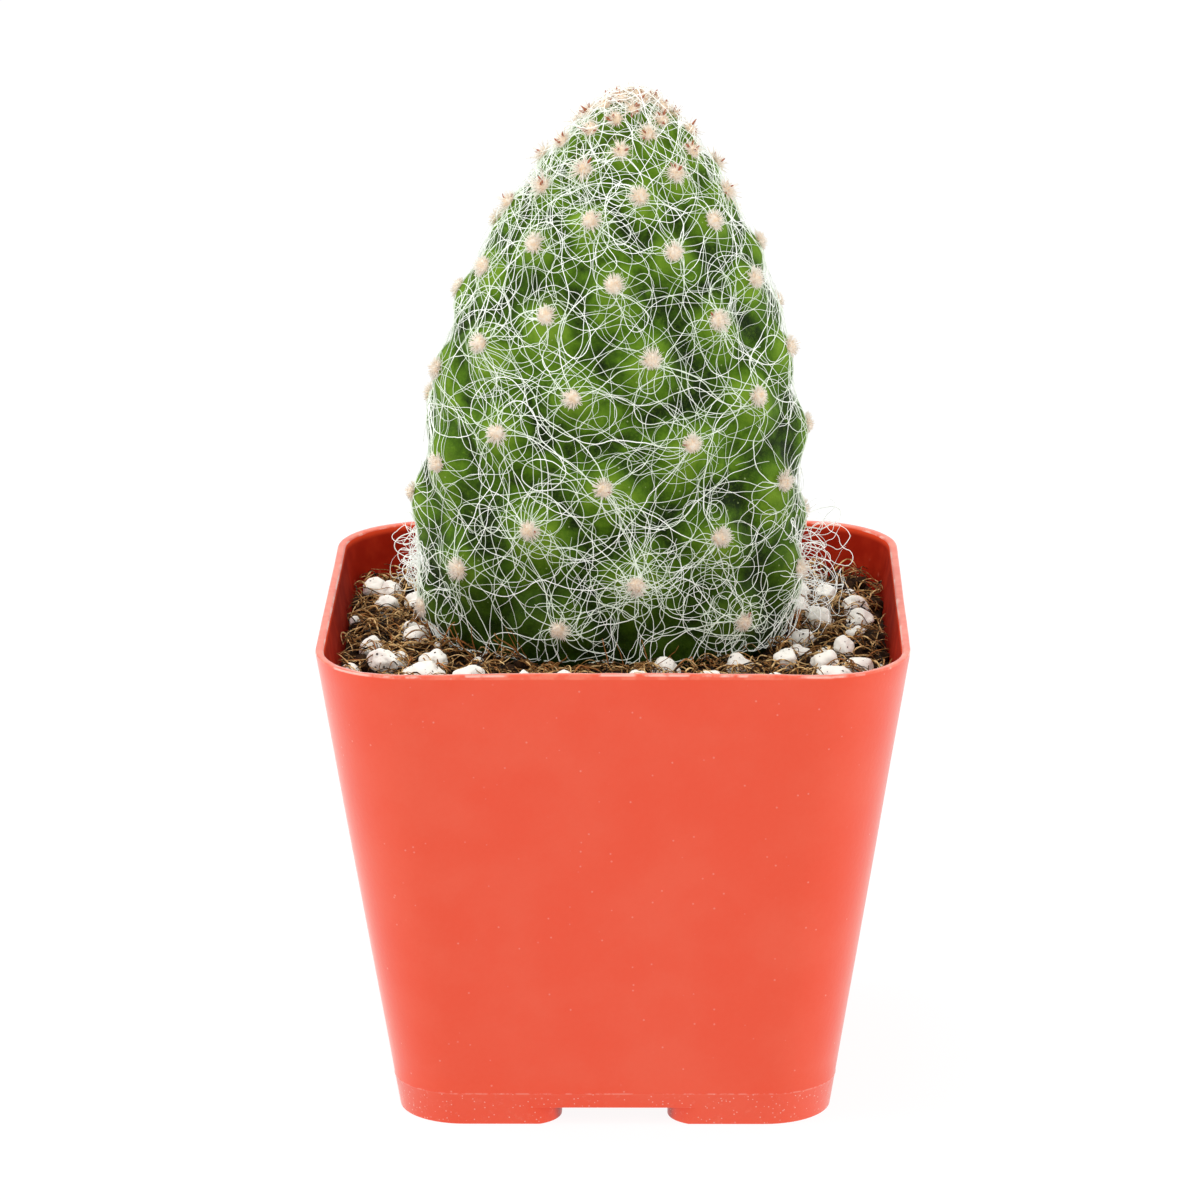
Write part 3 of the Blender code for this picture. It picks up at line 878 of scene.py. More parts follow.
def wall_depth(place):
    """How deep a place lies behind the pot's outer face."""
    return depth_inside(place.x, place.y, pot_half(place.z), pot_corner(place.z))


def rim_arch(place, settings):
    """How far the front of the rim arches up at a place on the wall."""
    front = max(0.0, -place.y / POT_HIGH.y) ** 4
    middle = max(0.0, 1 - (place.x / POT_HIGH.x) ** 2)
    return settings.rim_bow * front * middle * (place.z / POT_HIGH.z) ** 4


def worn(bm, settings):
    """The moulding's slight unevenness: soft waves in the walls and a ragged rim."""
    for vert in bm.verts:
        if vert.co.z < settings.seam_height + settings.seam_width:
            continue
        aside = Vector((vert.co.x, vert.co.y, 0.0)).normalized()
        up = (vert.co.z - settings.seam_height) / (POT_HIGH.z - settings.seam_height)
        wave = noise.noise(vert.co / (14 * MM)) * WALL_WAVE
        edge = noise.noise(vert.co / (3.5 * MM) + Vector((4, 0, 0))) * settings.rim_wear
        edge += noise.noise(vert.co / (1.1 * MM)) * settings.rim_wear * 0.6
        vert.co += aside * wave * min(1.0, 4 * up)
        if vert.co.z > POT_HIGH.z - RIM_WEAR_DEPTH:
            vert.co.z -= abs(edge)
        vert.co.z += rim_arch(vert.co, settings)


class PEAR_OT_pot(Operator):
    """Model the moulded pot"""

    bl_idname = "pear.pot"
    bl_label = "Pot"

    def execute(self, context):
        settings = context.scene.pear_pot
        mesh = cut(pot_shell(settings), pot_cutters(settings))
        bm = bmesh.new()
        bm.from_mesh(mesh)
        worn(bm, settings)
        mesh = closed_mesh(bm)
        tops = [POT_HIGH.z + rim_arch(vert.co, settings) for vert in mesh.vertices]
        mark(mesh, "below_rim", [(top - vert.co.z) / MM for top, vert in zip(tops, mesh.vertices)])
        mark(mesh, "depth", [wall_depth(vert.co) / MM for vert in mesh.vertices])
        paints = [plastic_finish(settings), inner_finish(settings)]
        piece = finished("moulded_pot", mesh, paints, "pot_plastic", "pot")
        # Faces inside the pot take the second material, painted dark red as shade.
        for face in mesh.polygons:
            deep = wall_depth(face.center) > 0.8 * settings.wall
            inside = settings.floor - 0.1 * MM < face.center.z < POT_HIGH.z - 0.3 * MM
            face.material_index = 1 if deep and inside else 0
        mesh.set_sharp_from_angle(angle=SHADED_EDGE)
        rounding = piece.modifiers.new("rounded feet", "BEVEL")
        rounding.width = FOOT_ROUNDING
        rounding.segments = 2
        rounding.limit_method = "ANGLE"
        rounding.angle_limit = FOOT_EDGE
        rounding.use_clamp_overlap = True
        return {"FINISHED"}


def smooth_outline(points):
    """A smooth curve through the points, which closes square to the axis at both ends."""
    corners = [Vector(point) * MM for point in points]
    corners = [corners[1] * Vector((1, -1)), *corners, corners[-2] * Vector((1, -1))]
    curve = []
    for before, start, end, after in zip(corners, corners[1:], corners[2:], corners[3:]):
        for step in range(OUTLINE_STEPS):
            t = step / OUTLINE_STEPS
            bend = (2 * before - 5 * start + 4 * end - after) * t**2
            twist = (3 * start - before - 3 * end + after) * t**3
            curve.append(start + ((end - before) * t + bend + twist) / 2)
    curve.append(corners[-2])
    return np.array(curve)


OUTLINE = smooth_outline(PAD_OUTLINE)
ALONG = np.concatenate([[0.0], np.cumsum(np.hypot(*np.diff(OUTLINE, axis=0).T))])
LEAN = np.array(PAD_LEAN) * MM
PAD_HALF_AT_SOIL = float(np.interp(48 * MM, OUTLINE[:, 0], OUTLINE[:, 1]))


def along_at(height):
    """Distance up the pad's outline at a height."""
    return float(np.interp(height, OUTLINE[:, 0], ALONG))


def pad_points(angle, along):
    """Points of the pad without its tubercles, by angle from the front and distance up the outline."""
    height = np.interp(along, ALONG, OUTLINE[:, 0])
    half = np.interp(along, ALONG, OUTLINE[:, 1])
    middle = np.interp(height, LEAN[:, 0], LEAN[:, 1])
    depth = PAD_BACK - PAD_THICKNESS * half * np.cos(angle)
    return np.stack([middle + half * np.sin(angle), depth, height], axis=-1)


def from_table(table, at):
    """A table's value at a number, on straight lines between its rows."""
    return np.interp(at, *zip(*table))


def pad_areoles():
    """The angle and the distance up the outline of each areole, from the tip down."""
    index = np.arange(1, AREOLE_COUNT + 1)
    height = PAD_OUTLINE[-1][0] - (AREOLE_DROP * index + AREOLE_DROP_GROWTH * index**2) / MM
    around = np.degrees(AREOLE_FIRST_ANGLE + AREOLE_TURN * index)
    share = from_table(AREOLE_SHARE, (around + 180) % 360 - 180)
    around -= share * from_table(AREOLE_BACK, height)
    height += share * from_table(AREOLE_UP, height)
    return np.radians(around), np.interp(height * MM, OUTLINE[:, 0], ALONG)


def areole_spacing(seats):
    """Each areole's mean distance to its four nearest neighbours."""
    apart = np.linalg.norm(seats[:, None] - seats[None], axis=2)
    return np.sort(apart, axis=1)[:, 1:5].mean(axis=1)


def distances(points, seats):
    """The distance from each point to each seat."""
    return np.sqrt(sum((points[:, None, axis] - seats[None, :, axis]) ** 2 for axis in range(3)))


def tubercles(points, seats):
    """How far the tubercles lift each point, and how high on its mound it lies, from 0 to 1."""
    spacing = areole_spacing(seats)
    mounds = seats.copy()
    mounds[:, 2] -= TUBERCLE_SAG * spacing
    away = distances(points, mounds)
    nearest = away.argmin(axis=1)
    first, second = np.partition(away, 1, axis=1)[:, :2].T
    mound = (1 - np.hypot(first / second, 0.15)).clip(0, 1) ** TUBERCLE_POINT
    rise = (points[:, 2] - mounds[nearest, 2]) / spacing[nearest]
    full = np.minimum(TUBERCLE_PART * spacing[nearest], TUBERCLE_MOST)
    fade = np.clip((points[:, 2] - TUBERCLE_FADE[0]) / (TUBERCLE_FADE[1] - TUBERCLE_FADE[0]), 0, 1)
    return full * mound * (1 + TUBERCLE_TILT * rise) * fade, mound * fade


def pad_form(sides, rings, swell=0.0):
    """A grid rolled up to the pad's outline and closed at its seam and ends, swollen all over."""
    bm = bmesh.new()
    bmesh.ops.create_grid(bm, x_segments=sides, y_segments=rings, size=1.0)
    flat = np.array([vert.co for vert in bm.verts])
    turn = math.pi * flat[:, 0]
    angle = turn - SIDE_EVENNESS / 2 * np.sin(2 * turn)
    places = pad_points(angle, (flat[:, 1] + 1) / 2 * ALONG[-1])
    for vert, place in zip(bm.verts, places.tolist()):
        vert.co = place
    bmesh.ops.remove_doubles(bm, verts=bm.verts, dist=MERGE)
    bmesh.ops.recalc_face_normals(bm, faces=bm.faces)
    bm.normal_update()
    if swell:
        for vert in bm.verts:
            vert.co += vert.normal * swell
    return bm


def pad_skin_mesh(settings):
    """The pad with its tubercles and fine wrinkles, and what its colour needs kept as attributes."""
    bm = pad_form(PAD_SIDES, PAD_RINGS)
    seats = pad_points(*pad_areoles())
    points = np.array([vert.co for vert in bm.verts])
    lifts, mounds = tubercles(points, seats)
    away = distances(points, seats).min(axis=1)
    for vert, lift in zip(bm.verts, lifts):
        ripple = noise.noise(vert.co / (2.3 * MM)) + 0.5 * noise.noise(vert.co / (0.9 * MM))
        vert.co += vert.normal * (float(lift) + settings.wrinkle * ripple)
    mesh = bpy.data.meshes.new("pad")
    bm.to_mesh(mesh)
    bm.free()
    mark(mesh, "mound", mounds)
    mark(mesh, "areole_distance", away / MM)
    return mesh


class PEAR_OT_skin(Operator):
    """Model the pad's skin with its tubercles"""

    bl_idname = "pear.skin"
    bl_label = "Skin"

    def execute(self, context):
        settings = context.scene.pear_pad
        mesh = pad_skin_mesh(settings)
        finished("pad_skin", mesh, [skin_finish(settings)], "cactus_skin", "cactus_pad")
        return {"FINISHED"}


def strands(name, paths, radii, tip_share):
    """Thin three-sided strands as one mesh, each closed and thinner at its tip."""
    corners = bpy.data.curves.new("strand section", "CURVE")
    section = corners.splines.new("POLY")
    section.points.add(2)
    for point, turn in zip(section.points, (0, 120, 240)):
        point.co = (math.cos(math.radians(turn)) * MM, math.sin(math.radians(turn)) * MM, 0, 1)
    section.use_cyclic_u = True
    profile = bpy.data.objects.new("strand section", corners)
    curve = bpy.data.curves.new(name, "CURVE")
    curve.dimensions = "3D"
    curve.bevel_mode = "OBJECT"
    curve.bevel_object = profile
    curve.use_fill_caps = True
    for path, radius in zip(paths, radii):
        spline = curve.splines.new("POLY")
        spline.points.add(len(path) - 1)
        along = np.linspace(0, 1, len(path))
        spline.points.foreach_set("co", np.column_stack([path, np.ones(len(path))]).ravel())
        spline.points.foreach_set("radius", radius / MM * (1 - (1 - tip_share) * along**2))
    holder = bpy.data.objects.new(name, curve)
    bpy.context.scene.collection.objects.link(profile)
    bpy.context.scene.collection.objects.link(holder)
    mesh = evaluated_mesh(holder)
    bpy.data.objects.remove(holder)
    bpy.data.objects.remove(profile)
    bm = bmesh.new()
    bm.from_mesh(mesh)
    return closed_mesh(bm)


def skin_tree():
    """The finished skin as a surface that can be searched."""
    skin = bpy.data.objects.get("pad_skin")
    if skin is None:
        raise RuntimeError("the skin is made before its spines")
    bm = bmesh.new()
    bm.from_mesh(skin.data)
    tree = BVHTree.FromBMesh(bm)
    bm.free()
    return tree


def areole_seats(tree):
    """Each areole above the soil: its place on the skin, the way out of the pad, and its room."""
    angles, alongs = pad_areoles()
    places = pad_points(angles, alongs)
    rooms = areole_spacing(places)
    small, step = 0.0005, 0.3 * MM
    seats = []
    for angle, along, place, room in zip(angles, alongs, places, rooms):
        if place[2] < AREOLE_LOWEST:
            continue
        top = min(along + step, ALONG[-1])
        side = Vector(pad_points(angle + small, along)) - Vector(pad_points(angle - small, along))
        up = Vector(pad_points(angle, top)) - Vector(pad_points(angle, along - step))
        out = side.cross(up).normalized()
        hit, facing = tree.ray_cast(Vector(place) + out * 5 * MM, -out)[:2]
        seats.append((hit, (out + facing * 0.5).normalized(), float(room)))
    return seats


def spread_around(out, turn, lean):
    """A direction that leans away from another by an angle, on the side given by a turn."""
    aside = out.orthogonal().normalized()
    aside.rotate(Quaternion(out, turn))
    return out * math.cos(lean) + aside * math.sin(lean)


def grown_share(room):
    """How far an areole's tuft has grown, from its room: 1 on a full one."""
    return min(1.0, 0.68 + 0.32 * room / (6.5 * MM))


def tuft(draw, seat, out, room, settings):
    """The bristles of one areole: a dense half ball with a frayed edge."""
    grown = grown_share(room)
    total = round(settings.bristles * grown)
    usual = settings.bristle_length * grown * draw.uniform(0.88, 1.1)
    fuller = draw.uniform(0, math.tau)
    paths = []
    for number in range(total):
        outer = math.sqrt((number + 0.5) / total)
        turn = number * GOLDEN_TURN + draw.uniform(-0.3, 0.3)
        way = spread_around(out, turn, outer * TUFT_SPREAD + draw.uniform(-0.15, 0.15))
        foot = seat + spread_around(out, turn, math.pi / 2) * outer * TUFT_FOOT * grown
        length = usual * draw.triangular(0.65, 1.15, 0.85) * (1 + 0.25 * outer * math.cos(turn - fuller))
        if room < CROWDED and number % LONG_BRISTLE_EVERY == 0:
            length *= LONG_BRISTLE
        paths.append([foot, foot + way * length])
    return paths


def cushion(seat, out, room, settings):
    """The matted heart of one tuft, as a small bmesh."""
    width = settings.bristle_length * grown_share(room)
    place = Matrix.Translation(seat + out * 0.1 * MM) @ out.to_track_quat("Z", "Y").to_matrix().to_4x4()
    bm = bmesh.new()
    shape = place @ Matrix.Diagonal((1.0, 1.0, 0.75, 1.0))
    verts = bmesh.ops.create_icosphere(bm, subdivisions=2, radius=width * 0.66, matrix=shape)["verts"]
    for vert in verts:
        vert.co += (vert.co - seat) * noise.noise(vert.co / (0.35 * MM)) * 0.35
    return bm


def gather(whole, part):
    """Add a small bmesh to a large one, and free it."""
    mesh = bpy.data.meshes.new("part")
    part.to_mesh(mesh)
    part.free()
    whole.from_mesh(mesh)
    bpy.data.meshes.remove(mesh)


class PEAR_OT_tufts(Operator):
    """Grow a tuft of cream bristles on each areole"""

    bl_idname = "pear.tufts"
    bl_label = "Tufts"

    def execute(self, context):
        settings = context.scene.pear_spines
        draw = random.Random(SEED)
        tree = skin_tree()
        areoles = areole_seats(tree)
        paths = []
        for seat, out, room in areoles:
            paths += tuft(draw, seat, out, room, settings)
        radii = [settings.bristle_radius * draw.uniform(0.8, 1.2) for _ in paths]
        bm = bmesh.new()
        bm.from_mesh(strands("tufts", paths, radii, TUFT_TIP))
        for seat, out, room in areoles:
            gather(bm, cushion(seat, out, room, settings))
        mesh = closed_mesh(bm)
        seats = tree_of(seat for seat, _, _ in areoles)
        mark(mesh, "along", [seats.find(vert.co)[2] / settings.bristle_length for vert in mesh.vertices])
        paint = bristle_finish("cream_bristles", settings.peach, settings.cream, 0.07)
        finished("areole_tufts", mesh, [paint], "areole_bristles", "cactus_pad")
        return {"FINISHED"}


def tree_of(places):
    """Places that can be searched for the nearest one."""
    places = list(places)
    tree = KDTree(len(places))
    for number, place in enumerate(places):
        tree.insert(place, number)
    tree.balance()
    return tree


def distance_shares(mesh, tree, reach):
    """How far each point of a mesh stands from the skin, as a share of a distance."""
    return [min(1.0, tree.find_nearest(vert.co)[3] / reach) for vert in mesh.vertices]


class PEAR_OT_scales(Operator):
    """Add the dried leaves beside the tufts"""

    bl_idname = "pear.scales"
    bl_label = "Dry scales"

    def execute(self, context):
        settings = context.scene.pear_spines
        draw = random.Random(SEED + 1)
        tree = skin_tree()
        paths = []
        for seat, out, room in areole_seats(tree):
            crowded = room < CROWDED
            if not crowded and draw.random() < SCALES_LEFT_OUT:
                continue
            for _ in range(draw.randint(2, 4) if crowded else 1):
                lean = math.radians(draw.uniform(15 if crowded else 60, 82))
                way = spread_around(out, draw.uniform(0, math.tau), lean)
                length = draw.uniform(*SCALE_LENGTHS)
                bend = Vector((draw.gauss(0, 0.3), draw.gauss(0, 0.3), draw.uniform(0, 0.4)))
                start = seat + way * grown_share(room) * draw.uniform(0.6, 0.85) * MM
                paths.append([start + (way * t + bend * t * t) * length for t in (0.0, 0.35, 0.7, 1.0)])
        radii = [draw.uniform(*SCALE_RADII) for _ in paths]
        mesh = strands("scales", paths, radii, SCALE_TIP)
        mark(mesh, "along", distance_shares(mesh, tree, 3.0 * MM))
        paint = bristle_finish("dry_scales", settings.scale, settings.straw, 0.03)
        finished("dry_scales", mesh, [paint], "areole_bristles", "cactus_pad")
        return {"FINISHED"}


def hair(draw, seat, out, turn, curl, hover, length, settings, skin, veil, seats):
    """One hair: it leaves a tuft's edge, then wanders over the mounds and keeps off the other tufts."""
    step = settings.hair_step
    forward = spread_around(out, turn + draw.gauss(0, 0.9), math.radians(draw.uniform(50, 84)))
    point = seat + spread_around(out, turn, math.pi / 2) * draw.uniform(0.3, 0.8) * MM
    path = [point]
    bend = draw.gauss(0, curl)
    near, facing = veil.find_nearest(point)[:2]
    for _ in range(round(length / step)):
        bend += draw.gauss(0, curl * HAIR_CHANGE) - bend * HAIR_CHANGE**2 / 2
        forward.rotate(Quaternion(facing, bend * step + draw.gauss(0, settings.hair_crook)))
        climb = max(-0.5, min(0.5, (hover - (point - near).dot(facing)) / HAIR_CLIMB))
        level = (forward - facing * forward.dot(facing)).normalized()
        tuft_place, _, tuft_away = seats.find(point)
        if tuft_away < TUFT_ROOM and tuft_place != seat:
            level = (level + (point - tuft_place).normalized() * 0.5).normalized()
        wanted = (level + facing * climb).normalized()
        forward = (forward * HAIR_KEPT_HEADING + wanted * (1 - HAIR_KEPT_HEADING)).normalized()
        point = point + forward * step
        near, facing = veil.find_nearest(point)[:2]
        ground = skin.ray_cast(point + facing * HAIR_REACH, -facing)[0]
        if ground is not None:
            point += facing * max(0.0, HAIR_CLEARANCE - (point - ground).dot(facing))
        path.append(point)
    return path


def locks(draw, seat, out, room, settings, skin, veil, seats):
    """The hairs of one areole: single ones, and locks of a few that start together."""
    low = seat.z < LOW_HAIR
    beside = seat.x / np.interp(seat.z, OUTLINE[:, 0], OUTLINE[:, 1])
    share = from_table(HAIR_BY_HEIGHT, seat.z) * (1 - HAIR_TO_RIGHT * beside - HAIR_TO_SIDES * beside**2)
    share *= 1 + HAIR_PATCHINESS * noise.noise(seat / HAIR_PATCH)
    left = settings.hair_cover * room**2 * share
    paths = []
    while left > 0:
        turn = draw.uniform(0, math.tau)
        curl = settings.hair_curl * draw.uniform(*CURLS)
        hover = draw.triangular(-0.5, 0.6, -0.1) * MM
        usual = draw.lognormvariate(math.log(settings.hair_length), 0.3) * min(1.0, 0.35 + room / (11 * MM))
        if draw.random() < (TIGHT_SHARE_LOW if low else TIGHT_SHARE):
            curl = settings.hair_curl * draw.uniform(*TIGHT_CURLS)
        for _ in range(draw.choice(LOCK_SIZES)):
            own = (turn + draw.gauss(0, 0.5), curl, hover + draw.gauss(0, 0.12) * MM)
            length = usual * draw.uniform(0.7, 1.1)
            paths.append(hair(draw, seat, out, *own, length, settings, skin, veil, seats))
            left -= length
    return paths


def tangle(draw, side, settings, veil):
    """One loose hair that leaves the pad's edge low down and lies beside it in small loops."""
    angle = side * math.radians(draw.gauss(88, 12))
    height = draw.uniform(*TANGLE_HEIGHTS)
    start = Vector(pad_points(angle, along_at(height)))
    out = Vector((math.sin(angle), -math.cos(angle), 0.0))
    reach = TANGLE_REACH[side]
    middle = start + out * draw.uniform(0.2, 1.0) * reach + Vector((0, 0, draw.uniform(-2.0, 1.0) * MM))
    step = settings.hair_step * 0.8
    forward, axis = out.copy(), Vector((0, 0, 1))
    point = start + out * 0.2 * MM
    path = [point]
    bend = draw.gauss(0, TANGLE_CURL)
    for _ in range(round(settings.hair_length * draw.uniform(0.4, 0.9) / step)):
        axis = (axis + Vector([draw.gauss(0, 0.25) for _ in range(3)])).normalized()
        bend += draw.gauss(0, TANGLE_CURL * HAIR_CHANGE) - bend * HAIR_CHANGE**2 / 2
        forward.rotate(Quaternion(axis, bend * step))
        forward = (forward + (middle - point) / reach * TANGLE_PULL).normalized()
        point = point + forward * step
        near, facing = veil.find_nearest(point)[:2]
        point += facing * max(0.0, 0.2 * MM - (point - near).dot(facing))
        path.append(point)
    return path


class PEAR_OT_hairs(Operator):
    """Grow long white hairs from the areoles"""

    bl_idname = "pear.hairs"
    bl_label = "Hairs"

    def execute(self, context):
        settings = context.scene.pear_spines
        soil = context.scene.pear_soil
        draw = random.Random(SEED + 2)
        skin = skin_tree()
        bm = pad_form(VEIL_SIDES, VEIL_RINGS, VEIL)
        veil = BVHTree.FromBMesh(bm)
        bm.free()
        places = areole_seats(skin)
        seats = tree_of(seat for seat, _, _ in places)
        paths = []
        for seat, out, room in places:
            paths += locks(draw, seat, out, room, settings, skin, veil, seats)
        paths += [tangle(draw, side, settings, veil) for side in (-1, 1) for _ in range(settings.tangles)]
        lowest = soil.level + 0.35 * MM
        for path in paths:
            for point in path:
                point.z = max(point.z, lowest + 0.3 * MM * noise.noise(point / MM))
        paint = hair_finish(settings)
        share = math.ceil(len(paths) / HAIR_PIECES)
        for number in range(HAIR_PIECES):
            part = paths[number * share : (number + 1) * share]
            radii = [settings.hair_radius * draw.triangular(*HAIR_WIDTHS) for _ in part]
            mesh = strands("hairs", part, radii, HAIR_TIP)
            mark(mesh, "raised", distance_shares(mesh, skin, HAIR_FULL_LIGHT))
            finished(f"hair_veil_{number + 1}", mesh, [paint], "hair_spines", "cactus_pad")
        return {"FINISHED"}


def soil_height(x, y, settings):
    """The soil's height at a place, with its lumps."""
    return settings.level + settings.relief * noise.noise(Vector((x, y, 0.0)) / settings.crumb)


def in_pot(x, y, room, wall):
    """Whether a place at the soil's level keeps off the pot's wall."""
    half = pot_half(SOIL_HIGH.z) - wall - GAP - room
    return depth_inside(x, y, half, pot_corner(SOIL_HIGH.z) - wall) > 0


def off_pad(x, y, room):
    """Whether a place at the soil's level keeps off the pad."""
    half = PAD_HALF_AT_SOIL + room
    return math.hypot(x / half, (y - PAD_BACK) / (PAD_HALF_AT_SOIL * PAD_THICKNESS + room)) > 1


def soil_bed_mesh(settings, pot):
    """The block of soil inside the pot, with a crumbled top whose grid is finest round the plant."""
    bm = bmesh.new()
    inset = pot.wall + GAP
    heights = (pot.floor + GAP, settings.level, settings.level - SOIL_DIP)
    low, edge, inner = [pot_loop(bm, height, inset, SOIL_SIDE_STEPS) for height in heights]
    verts = list({vert for part in inner for vert in part.verts})
    bmesh.ops.scale(bm, verts=verts, vec=(SOIL_CENTRE, SOIL_CENTRE, 1.0))
    bmesh.ops.bridge_loops(bm, edges=low + edge)
    spokes = bmesh.ops.bridge_loops(bm, edges=edge + inner)["edges"]
    bmesh.ops.holes_fill(bm, edges=bm.edges, sides=0)
    bmesh.ops.subdivide_edges(bm, edges=spokes, cuts=SOIL_SPOKE_STEPS, use_grid_fill=True)
    for vert in bm.verts:
        if vert.co.z > settings.level - MM:
            x, y = vert.co.xy
            fine = noise.noise(Vector((x, y, 0)) / (1.1 * MM))
            fine += 0.6 * noise.noise(Vector((x, y, 9)) / (0.5 * MM))
            vert.co.z = soil_height(x, y, settings) - SOIL_SINK + settings.grit * fine
    return closed_mesh(bm)


def scatter(draw, placed, number, widths, spacing, room, wall):
    """Add seeded places for a number of grains, off the pot and the pad and spaced from the rest."""
    while number:
        x = draw.uniform(-POT_HIGH.x, POT_HIGH.x)
        y = draw.uniform(-POT_HIGH.x, POT_HIGH.x)
        width = draw.uniform(*widths)
        apart = all(math.hypot(x - a, y - b) > spacing * (width + w) / 2 for a, b, w in placed)
        if apart and in_pot(x, y, room * width, wall) and off_pad(x, y, room * width):
            placed.append((x, y, width))
            number -= 1


def lump(draw, number, x, y, z, width, fine, rough):
    """One irregular grain, as a small bmesh."""
    turn = Matrix.Rotation(draw.uniform(0, math.tau), 4, "Z")
    bm = bmesh.new()
    verts = bmesh.ops.create_icosphere(bm, subdivisions=fine, radius=width / 2)["verts"]
    squash = Vector((draw.uniform(0.85, 1.15), draw.uniform(0.8, 1.1), draw.uniform(0.7, 0.9)))
    for vert in verts:
        spot = vert.co / width
        shape = 1 + 0.4 * noise.noise(spot * 2 + Vector((number, 0, 0)))
        shape += rough * noise.noise(spot * 5 + Vector((0, number, 0)))
        shape += 0.5 * rough * noise.noise(spot * 11 + Vector((0, 0, number)))
        vert.co = vert.co * squash * shape
    bmesh.ops.transform(bm, verts=verts, matrix=Matrix.Translation((x, y, z)) @ turn)
    return bm


def heap(draw, settings, places, fineness, raised, rough):
    """Irregular grains at their places on the soil, raised by a share of their width, as one mesh."""
    bm = bmesh.new()
    for number, ((x, y, width), fine) in enumerate(zip(places, fineness), 1):
        z = soil_height(x, y, settings) + raised * width
        gather(bm, lump(draw, number, x, y, z, width, fine, rough))
    return closed_mesh(bm)


class PEAR_OT_soil(Operator):
    """Model the soil, its crumbs and the perlite in it"""

    bl_idname = "pear.soil"
    bl_label = "Soil"

    def execute(self, context):
        settings = context.scene.pear_soil
        pot = context.scene.pear_pot
        draw = random.Random(SEED + 3)
        bed = soil_bed_mesh(settings, pot)
        paint = soil_finish("crumbly_soil", settings.peat, settings.loam)
        finished("soil_bed", bed, [paint], "potting_soil", "soil")
        grains = [(x * MM, y * MM, width * MM) for x, y, width in SHOWN_GRAINS]
        scatter(draw, grains, BACK_GRAINS, GRAIN_WIDTHS, 0.9, 0.6, pot.wall)
        fineness = [4] * len(grains) + [3] * settings.chips
        scatter(draw, grains, settings.chips, CHIP_WIDTHS, 0.75, 0.6, pot.wall)
        mesh = heap(draw, settings, grains, fineness, raised=0.1, rough=0.1)
        finished("perlite_grains", mesh, [perlite_finish(settings)], "perlite", "soil")
        crumbs = []
        scatter(draw, crumbs, settings.crumbs, CRUMB_WIDTHS, 0.45, 0.5, pot.wall)
        mesh = heap(draw, settings, crumbs, [2] * settings.crumbs, raised=-0.3, rough=0.5)
        paint = soil_finish("peat_crumbs", settings.peat, settings.loam)
        finished("peat_crumbs", mesh, [paint], "potting_soil", "soil")
        return {"FINISHED"}


def fibre(draw, settings, wall, x, y, rising):
    """One strand of coir that lies on the soil, or stands up from it beside the plant."""
    heading = draw.uniform(0, math.tau)
    curl = draw.gauss(0, FIBRE_CURL)
    clearance = draw.uniform(-0.2, 0.5) * MM
    arch = draw.uniform(0.1, 1.1) * MM
    steps = draw.randint(*FIBRE_PIECES)
    path = []
    for number in range(steps + 1):
        share = number / steps
        lift = clearance + arch * math.sin(math.pi * share)
        if rising:
            lift = (share**1.5) * draw.uniform(3.4, 3.8) * MM
        path.append(Vector((x, y, soil_height(x, y, settings) + lift)))
        curl += draw.gauss(0, FIBRE_CHANGE) - curl * 0.15
        heading += curl * FIBRE_STEP
        x += math.cos(heading) * FIBRE_STEP
        y += math.sin(heading) * FIBRE_STEP
        if not in_pot(x, y, 0.1 * MM, wall) or not off_pad(x, y, 0.3 * MM if rising else 0.0):
            break
    return path


class PEAR_OT_fibres(Operator):
    """Scatter strands of coir over the soil"""

    bl_idname = "pear.fibres"
    bl_label = "Fibres"

    def execute(self, context):
        settings = context.scene.pear_soil
        wall = context.scene.pear_pot.wall
        draw = random.Random(SEED + 4)
        shades = (
            ("tan_coir", settings.coir, settings.bark, 0.5, 0),
            ("brown_coir", settings.bark, settings.peat, 0.42, 0),
            ("rust_coir", settings.rust, settings.bark, 0.08, settings.risers),
        )
        for name, light, dark, share, risers in shades:
            paths = []
            while len(paths) < settings.fibres * share + risers:
                rising = len(paths) < risers
                x = draw.uniform(-POT_HIGH.x, POT_HIGH.x)
                y = draw.uniform(-POT_HIGH.x, POT_HIGH.x)
                beside = off_pad(x, y, 0.2 * MM) and not (rising and off_pad(x, y, 3 * MM))
                if in_pot(x, y, 0.3 * MM, wall) and beside:
                    path = fibre(draw, settings, wall, x, y, rising)
                    if len(path) > 4:
                        paths.append(path)
            radii = [settings.fibre_radius * draw.uniform(0.6, 1.5) for _ in paths]
            mesh = strands(name, paths, radii, FIBRE_TIP)
            finished(name, mesh, [fibre_finish(name, light, dark)], "potting_soil", "soil")
        return {"FINISHED"}


def softbox(name, place, width, height, power):
    """A large soft light that faces the plant."""
    data = bpy.data.lights.new(name, "AREA")
    data.shape = "RECTANGLE"
    data.size = width
    data.size_y = height
    data.energy = power
    lamp = bpy.data.objects.new(name, data)
    lamp.location = place
    lamp.rotation_mode = "QUATERNION"
    lamp.rotation_quaternion = (Vector(LIT_POINT) - Vector(place)).to_track_quat("-Z", "Y")
    bpy.context.scene.collection.objects.link(lamp)


